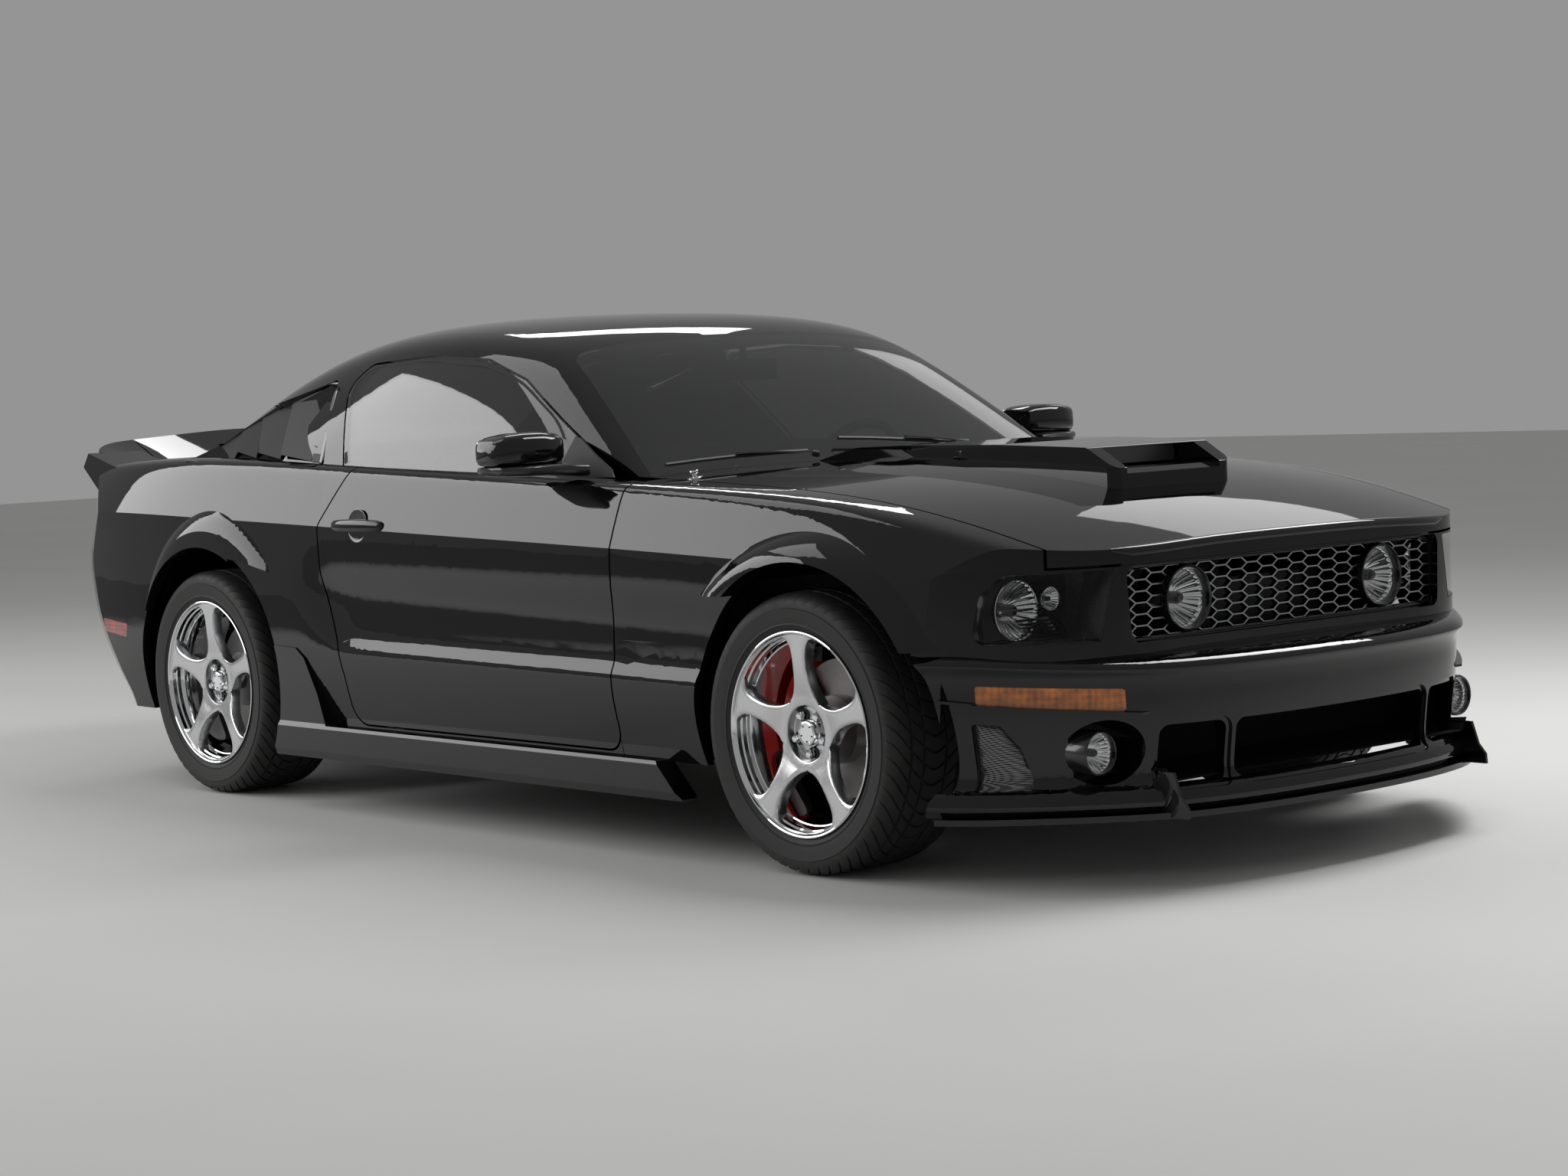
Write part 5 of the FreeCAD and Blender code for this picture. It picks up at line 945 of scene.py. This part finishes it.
def rounded_outline(corners, radius, steps=6):
    """Each corner is replaced by a short curve between two points on its edges."""
    outline = []
    count = len(corners)
    for i, corner in enumerate(corners):
        before, after = corners[i - 1], corners[(i + 1) % count]
        back = corner + (before - corner) * min(radius / (before - corner).length, 0.45)
        ahead = corner + (after - corner) * min(radius / (after - corner).length, 0.45)
        for step in range(steps + 1):
            t = step / steps
            outline.append(back * (1 - t) ** 2 + corner * 2 * t * (1 - t) + ahead * t ** 2)
    return outline


def side_y(skin_nodes, x, z):
    """How far out the skin is at x, z; a point just off the skin takes the nearest place on its first node."""
    found = [skin_at(node, (x, -2.0, z), (0, 1, 0)) for node in skin_nodes]
    outward = [-spot.y for spot in found if spot is not None and spot.y < 0]
    if outward:
        return max(outward)
    return -skins[skin_nodes[0]].find_nearest(Vector((x, -0.76, z)))[0].y


def border(name, outline, skin_nodes, width, lift, sink, finish, body, sign):
    middle = sum(outline, Vector((0, 0))) / len(outline)
    rings = []
    for point in outline:
        inward = point + (middle - point).normalized() * width
        outer, inner = side_y(skin_nodes, point.x, point.y), side_y(skin_nodes, inward.x, inward.y)
        rings.append([(point.x, sign * (outer + lift), point.y), (inward.x, sign * (inner + lift), inward.y),
                      (inward.x, sign * (inner - sink), inward.y), (point.x, sign * (outer - sink), point.y)])
    return show(name, loft(name, rings, True), finish, body)


glass_outline = rounded_outline([share_point(*share) for share in (
    (0.352, 0.984), (0.731, 0.984), (0.793, 1.590), (0.769, 1.727), (0.660, 1.757), (0.556, 1.713), (0.482, 1.565),
    (0.402, 1.285))], 0.060)
quarter_outline = rounded_outline([share_point(*share) for share in (
    (0.780, 1.036), (1.150, 1.090), (1.143, 1.185), (0.935, 1.484), (0.835, 1.634), (0.822, 1.600))], 0.020)
quarter_skin = ("quarter_louvres", "roof_panel", "body_sides")
slats = [((-1.209, 1.034), (-1.308, 1.090), (-1.205, 1.128), (-1.076, 1.012)),
         ((-1.058, 1.028), (-1.210, 1.128), (-1.047, 1.174), (-0.933, 1.008)),
         ((-0.922, 1.021), (-1.050, 1.174), (-0.892, 1.206), (-0.756, 1.000))]
front_plate = [(-0.752, 0.998), (-0.888, 1.207), (-0.850, 1.216), (-0.825, 1.211), (-0.708, 0.997)]
rear_plate = [(-1.440, 1.020), (-1.430, 1.042), (-1.316, 1.086), (-1.216, 1.032), (-1.196, 1.013)]
louvre_screws = [(-0.843, 1.191), (-0.768, 1.043), (-1.340, 1.050)]
for side, sign in sides.items():
    border(f"glass_border_{side}", glass_outline, ["door_glass_right"], 0.013, 0.0009, 0.0, seal, f"door_{side}",
           sign)
    border(f"louvre_frame_{side}", quarter_outline, quarter_skin, 0.013, 0.0045, 0.010, gloss_trim, "root", sign)

    def on_quarter(spots, *lifts):
        return [[(x, sign * (side_y(quarter_skin, x, z) + lift), z)
                 for (x, z), lift in zip(spots, row)] for row in lifts]

    backing = [(spot.x, spot.y) for spot in quarter_outline]
    plate_rings = on_quarter(backing, [-0.010] * len(backing), [-0.014] * len(backing))
    # The backing plate is dull near black: painted shade behind the slats.
    show(f"louvre_backing_{side}", loft("louvre_backing", plate_rings), shade_black,
         stands_for=["quarter_louvres"])
    for number, spots in enumerate(slats):
        rings = on_quarter(spots, (0.017, 0.009, 0.0025, 0.0025), (0.0145, 0.0065, 0.0, 0.0))
        show(f"louvre_slat_{side}_{number}", loft("louvre_slat", rings), trim, bevel=0.0006)
    for number, spots in enumerate((front_plate, rear_plate)):
        rings = on_quarter(spots, [0.0030] * len(spots), [-0.0020] * len(spots))
        show(f"louvre_plate_{side}_{number}", loft("louvre_plate", rings), trim, bevel=0.0008)
    for number, spot in enumerate(louvre_screws):
        at = on_quarter([spot], (0.0030,))[0][0]
        show(f"louvre_screw_{side}_{number}", screw_mesh, gloss_trim, "root", aim(at, (0, sign * 0.8, 0.6)))
print("louvres are on")

# %% [markdown]
# Seats are padded, so each pad is simulated. It starts as an upright prism, a little smaller than the finished pad,
# is remeshed into even small faces, and then a Cloth simulation with inner pressure swells it. How far any point may
# move is capped, so that the pad keeps its shape and stays inside the car. One seat is simulated and its mesh is
# mirrored for the other.


# %% Padded pieces
def swollen(name, outline, low_y, high_y, cell, cap, pressure=4.0):
    """A prism over an outline of (x, z) points, swollen by cloth pressure."""
    mesh = loft(name, [[(x, y, z) for x, z in outline] for y in (low_y, high_y)])
    pad = bpy.data.objects.new(name, mesh)
    scene.collection.objects.link(pad)
    remesh = pad.modifiers.new("even", "REMESH")
    remesh.mode = "VOXEL"
    remesh.voxel_size = cell
    bpy.context.view_layer.update()
    even = bpy.data.meshes.new_from_object(pad.evaluated_get(bpy.context.evaluated_depsgraph_get()))
    pad.modifiers.clear()
    pad.data = even
    rest = [vertex.co.copy() for vertex in even.vertices]
    cloth = pad.modifiers.new("cloth", "CLOTH")
    cloth.settings.use_pressure = True
    cloth.settings.uniform_pressure_force = pressure
    cloth.settings.effector_weights.gravity = 0.0
    for number in range(1, 21):
        scene.frame_set(number)
    final = bpy.data.meshes.new_from_object(pad.evaluated_get(bpy.context.evaluated_depsgraph_get()))
    for vertex, start in zip(final.vertices, rest):
        move = vertex.co - start
        if move.length > cap:
            vertex.co = start + move * (cap / move.length)
    bpy.data.objects.remove(pad)
    scene.frame_set(1)
    return final


def mirrored(mesh, name):
    copy = mesh.copy()
    copy.name = name
    copy.transform(Matrix.Scale(-1, 4, (0, 1, 0)))
    copy.flip_normals()
    return copy


cabin_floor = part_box("front_seats")[0].z
bolster_side = [(-0.50, 0.30), (-0.06, 0.32), (-0.07, 0.43), (-0.14, 0.462), (-0.50, 0.45)]
back_side = [(-0.535, 0.42), (-0.440, 0.44), (-0.500, 0.72), (-0.590, 0.83), (-0.640, 0.83)]
outer_pad, inner_pad, middle_pad = (0.535, 0.605), (0.145, 0.215), (0.225, 0.525)
seat_pads = {
    "seat_cushion": ([(-0.50, 0.30), (-0.05, 0.32), (-0.045, 0.40), (-0.10, 0.44), (-0.50, 0.40)], *middle_pad),
    "seat_bolster_outer": (bolster_side, *outer_pad),
    "seat_bolster_inner": (bolster_side, *inner_pad),
    "seat_back": ([(-0.535, 0.40), (-0.465, 0.40), (-0.580, 0.845), (-0.650, 0.845)], *middle_pad),
    "back_bolster_outer": (back_side, *outer_pad),
    "back_bolster_inner": (back_side, *inner_pad),
    "head_restraint": ([(-0.655, 0.875), (-0.600, 0.875), (-0.622, 0.995), (-0.672, 0.995)], 0.265, 0.485)}
bench_pads = {
    "bench_cushion": ([(-1.02, 0.30), (-0.72, 0.31), (-0.715, 0.41), (-0.76, 0.435), (-1.02, 0.40)], 0.04, 0.50),
    "bench_back": ([(-1.10, 0.43), (-1.02, 0.42), (-1.095, 0.82), (-1.165, 0.82)], 0.04, 0.50)}
for pads, cell, cap, stands_for in ((seat_pads, 0.011, 0.014, "front_seats"),
                                    (bench_pads, 0.014, 0.016, "rear_seat")):
    for name, (outline, low_y, high_y) in pads.items():
        left = swollen(name, outline, low_y, high_y, cell, cap)
        for side, mesh in (("left", left), ("right", mirrored(left, f"{name}_right"))):
            pad = show(f"{name}_{side}", mesh, leather, "root", None, [stands_for])
            pad.modifiers.new("smooth", "SUBSURF").levels = 1
print("pads are in")

# %% [markdown]
# Under and behind the pads are hard parts: the seat shells, their rails, the posts of the head restraints and the
# bench's base. On the dash are a hood over the dials and round vents, and between the seats a console with its
# lever.

# %% Hard parts of the cabin
shell_outline = [(-0.545, 0.34), (-0.52, 0.30), (-0.06, 0.300), (-0.05, 0.318), (-0.50, 0.325), (-0.535, 0.40),
                 (-0.655, 0.86), (-0.672, 0.86)]
for side, sign in sides.items():
    ends = [[(x, sign * y, z) for x, z in shell_outline] for y in (0.140, 0.612)]
    show(f"seat_shell_{side}", loft("seat_shell", ends), cabin_plastic, bevel=0.006)
    for number, y in enumerate((0.20, 0.55)):
        rail = [(x, sign * y, cabin_floor + 0.020) for x in (-0.52, -0.30, -0.08)]
        show(f"seat_rail_{side}_{number}", swept("seat_rail", rail, [(-0.016, -0.02), (0.016, -0.02), (0.012, 0.02),
                                                                     (-0.012, 0.02)]), dark_steel)
        foot = [(x, sign * y, z) for x, z in ((-0.45, cabin_floor + 0.03), (-0.45, 0.315))]
        show(f"seat_foot_{side}_{number}", swept("seat_foot", foot, circle(0.018), (1, 0, 0)), dark_steel)
    for number, y in enumerate((0.335, 0.415)):
        post = [(-0.620, sign * y, 0.83), (-0.632, sign * y, 0.90)]
        show(f"restraint_post_{side}_{number}", swept("restraint_post", post, circle(0.006), (0, 1, 0)), chrome)
bench_base = [(-1.03, 0.275), (-0.73, 0.275), (-0.725, 0.31), (-1.02, 0.305), (-1.105, 0.42), (-1.17, 0.84),
              (-1.19, 0.84), (-1.13, 0.40)]
show("bench_base", loft("bench_base", [[(x, y, z) for x, z in bench_base] for y in (-0.52, 0.52)]), cabin_plastic,
     bevel=0.005)
dash_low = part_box("dashboard")[0]
binnacle = []
for y, rise in ((0.215, 0.012), (0.24, 0.034), (0.31, 0.046), (0.44, 0.046), (0.51, 0.034), (0.535, 0.012)):
    x, z = dash_low.x + 0.055, 0.872
    binnacle.append([(x - 0.02, y, z), (x + 0.19, y, z), (x + 0.17, y, z + rise * 0.7), (x + 0.08, y, z + rise),
                     (x - 0.02, y, z + rise), (x - 0.025, y, z + rise - 0.008)])
show("dial_hood", loft("dial_hood", binnacle), cabin_plastic, bevel=0.003)
vent_ring = turned("dash_vent", [(0.040, -0.01), (0.040, 0.006), (0.036, 0.009), (0.031, 0.005), (0.030, 0.0),
                                 (0.012, -0.002), (0.010, 0.003), (0.0, 0.004)], 40)
for number, y in enumerate((-0.66, -0.09, 0.09, 0.66)):
    show(f"dash_vent_{number}", vent_ring, chrome, "root", aim((dash_low.x + 0.012, y, 0.800), (-1, 0, 0)))
console = []
for x, half, top in ((0.235, 0.105, 0.62), (0.16, 0.10, 0.50), (0.02, 0.098, 0.46), (-0.30, 0.098, 0.455),
                     (-0.52, 0.098, 0.50), (-0.56, 0.09, 0.49)):
    console.append([(x, -half, cabin_floor), (x, -half * 0.9, top - 0.02), (x, -half * 0.7, top), (x, half * 0.7, top),
                    (x, half * 0.9, top - 0.02), (x, half, cabin_floor)])
show("centre_console", loft("centre_console", console), cabin_plastic, bevel=0.004)
boot = turned("lever_boot", [(0.052, 0.0), (0.048, 0.014), (0.034, 0.034), (0.026, 0.050), (0.016, 0.066),
                             (0.008, 0.074), (0.008, 0.150), (0.018, 0.156), (0.024, 0.170), (0.021, 0.188),
                             (0.010, 0.197), (0.0, 0.199)], 32)
show("gear_lever", boot, leather, "root", aim((0.055, 0, 0.462), (-0.12, 0, 1), (1, 0, 0)))

# %% [markdown]
# The driver's wheel turns with its body, and its pad is a rounded boss across the middle of the rim. Its plane is the
# wheel's own: its axis is the axis of the steering joint.

# %% Steering wheel pad
turning = [joint for joint in frame["joints"] if joint["name"] == "steering_wheel_turn"][0]
wheel_axis = Vector(turning["axis"])
wheel_middle = Vector(turning["pos_m"])
pad_rings = []
for height, wide, tall in ((-0.010, 0.060, 0.050), (0.004, 0.078, 0.062), (0.016, 0.080, 0.064), (0.026, 0.070, 0.056),
                           (0.030, 0.045, 0.036)):
    pad_rings.append([(x, y, height) for x, y in squircle(wide, tall, 28, 0.7)])
show("steering_pad", loft("steering_pad", pad_rings), cabin_plastic, "steering_wheel", aim(wheel_middle, -wheel_axis))
print("cabin is in", [round(c, 3) for c in wheel_middle])

# %% [markdown]
# The studio is a wide pale floor under an even grey world. On black paint the lamps are not there to light the
# surface: they are what the coat reflects, so each one stands where a bright shape belongs. A tall wall of light
# on the right draws the shoulders and the door's crease, a panel above it the flares, one over the nose the hood,
# and two small ones behind the car the edge of the roof.

# %% Studio
reach = 30.0
sky_grey = 0.30
floor_mesh = bpy.data.meshes.new("studio_floor")
floor_mesh.from_pydata([(-reach, -reach, 0), (reach, -reach, 0), (reach, reach, 0), (-reach, reach, 0)], [],
                       [(0, 1, 2, 3)])
floor = bpy.data.objects.new("studio_floor", floor_mesh)
scene.collection.objects.link(floor)
floor_finish = Finish("pale_floor", Roughness=0.6, Specular_IOR_Level=0.2)
speckle = floor_finish.noise(0.8, 4.0)
floor_finish.feed("Base Color", floor_finish.blend(speckle, (0.60, 0.60, 0.59), (0.66, 0.66, 0.65)))
floor_mesh.materials.append(floor_finish.material)


def soft_light(name, place, target, width, length, power):
    lamp = bpy.data.lights.new(name, "AREA")
    lamp.shape = "RECTANGLE"
    lamp.size = width
    lamp.size_y = length
    lamp.energy = power
    holder = bpy.data.objects.new(name, lamp)
    scene.collection.objects.link(holder)
    holder.location = place
    holder.rotation_euler = (Vector(target) - Vector(place)).to_track_quat("-Z", "Y").to_euler()
    return holder


soft_light("right_wall", (-6.5, -6.5, 4.1), (0.0, -0.9, 0.9), 9.0, 4.6, 430.0)
soft_light("right_high_panel", (-3.8, -2.6, 6.3), (0.0, -0.9, 0.8), 3.0, 3.0, 50.0)
soft_light("left_panel", (-2.4, 6.9, 4.7), (2.0, 0.0, 0.8), 2.6, 1.5, 16.0)
soft_light("rear_strip", (-5.3, 3.9, 5.4), (0.0, 0.0, 1.3), 3.0, 0.8, 42.0)
soft_light("nose_panel_light", (1.8, 2.1, 4.2), (2.0, 0.6, 0.6), 1.6, 4.0, 190.0)
world = bpy.data.worlds.new("studio")
scene.world = world
world.use_nodes = True
backdrop = world.node_tree.nodes["Background"]
backdrop.inputs[0].default_value = (sky_grey, sky_grey, sky_grey, 1)
backdrop.inputs[1].default_value = 1.0
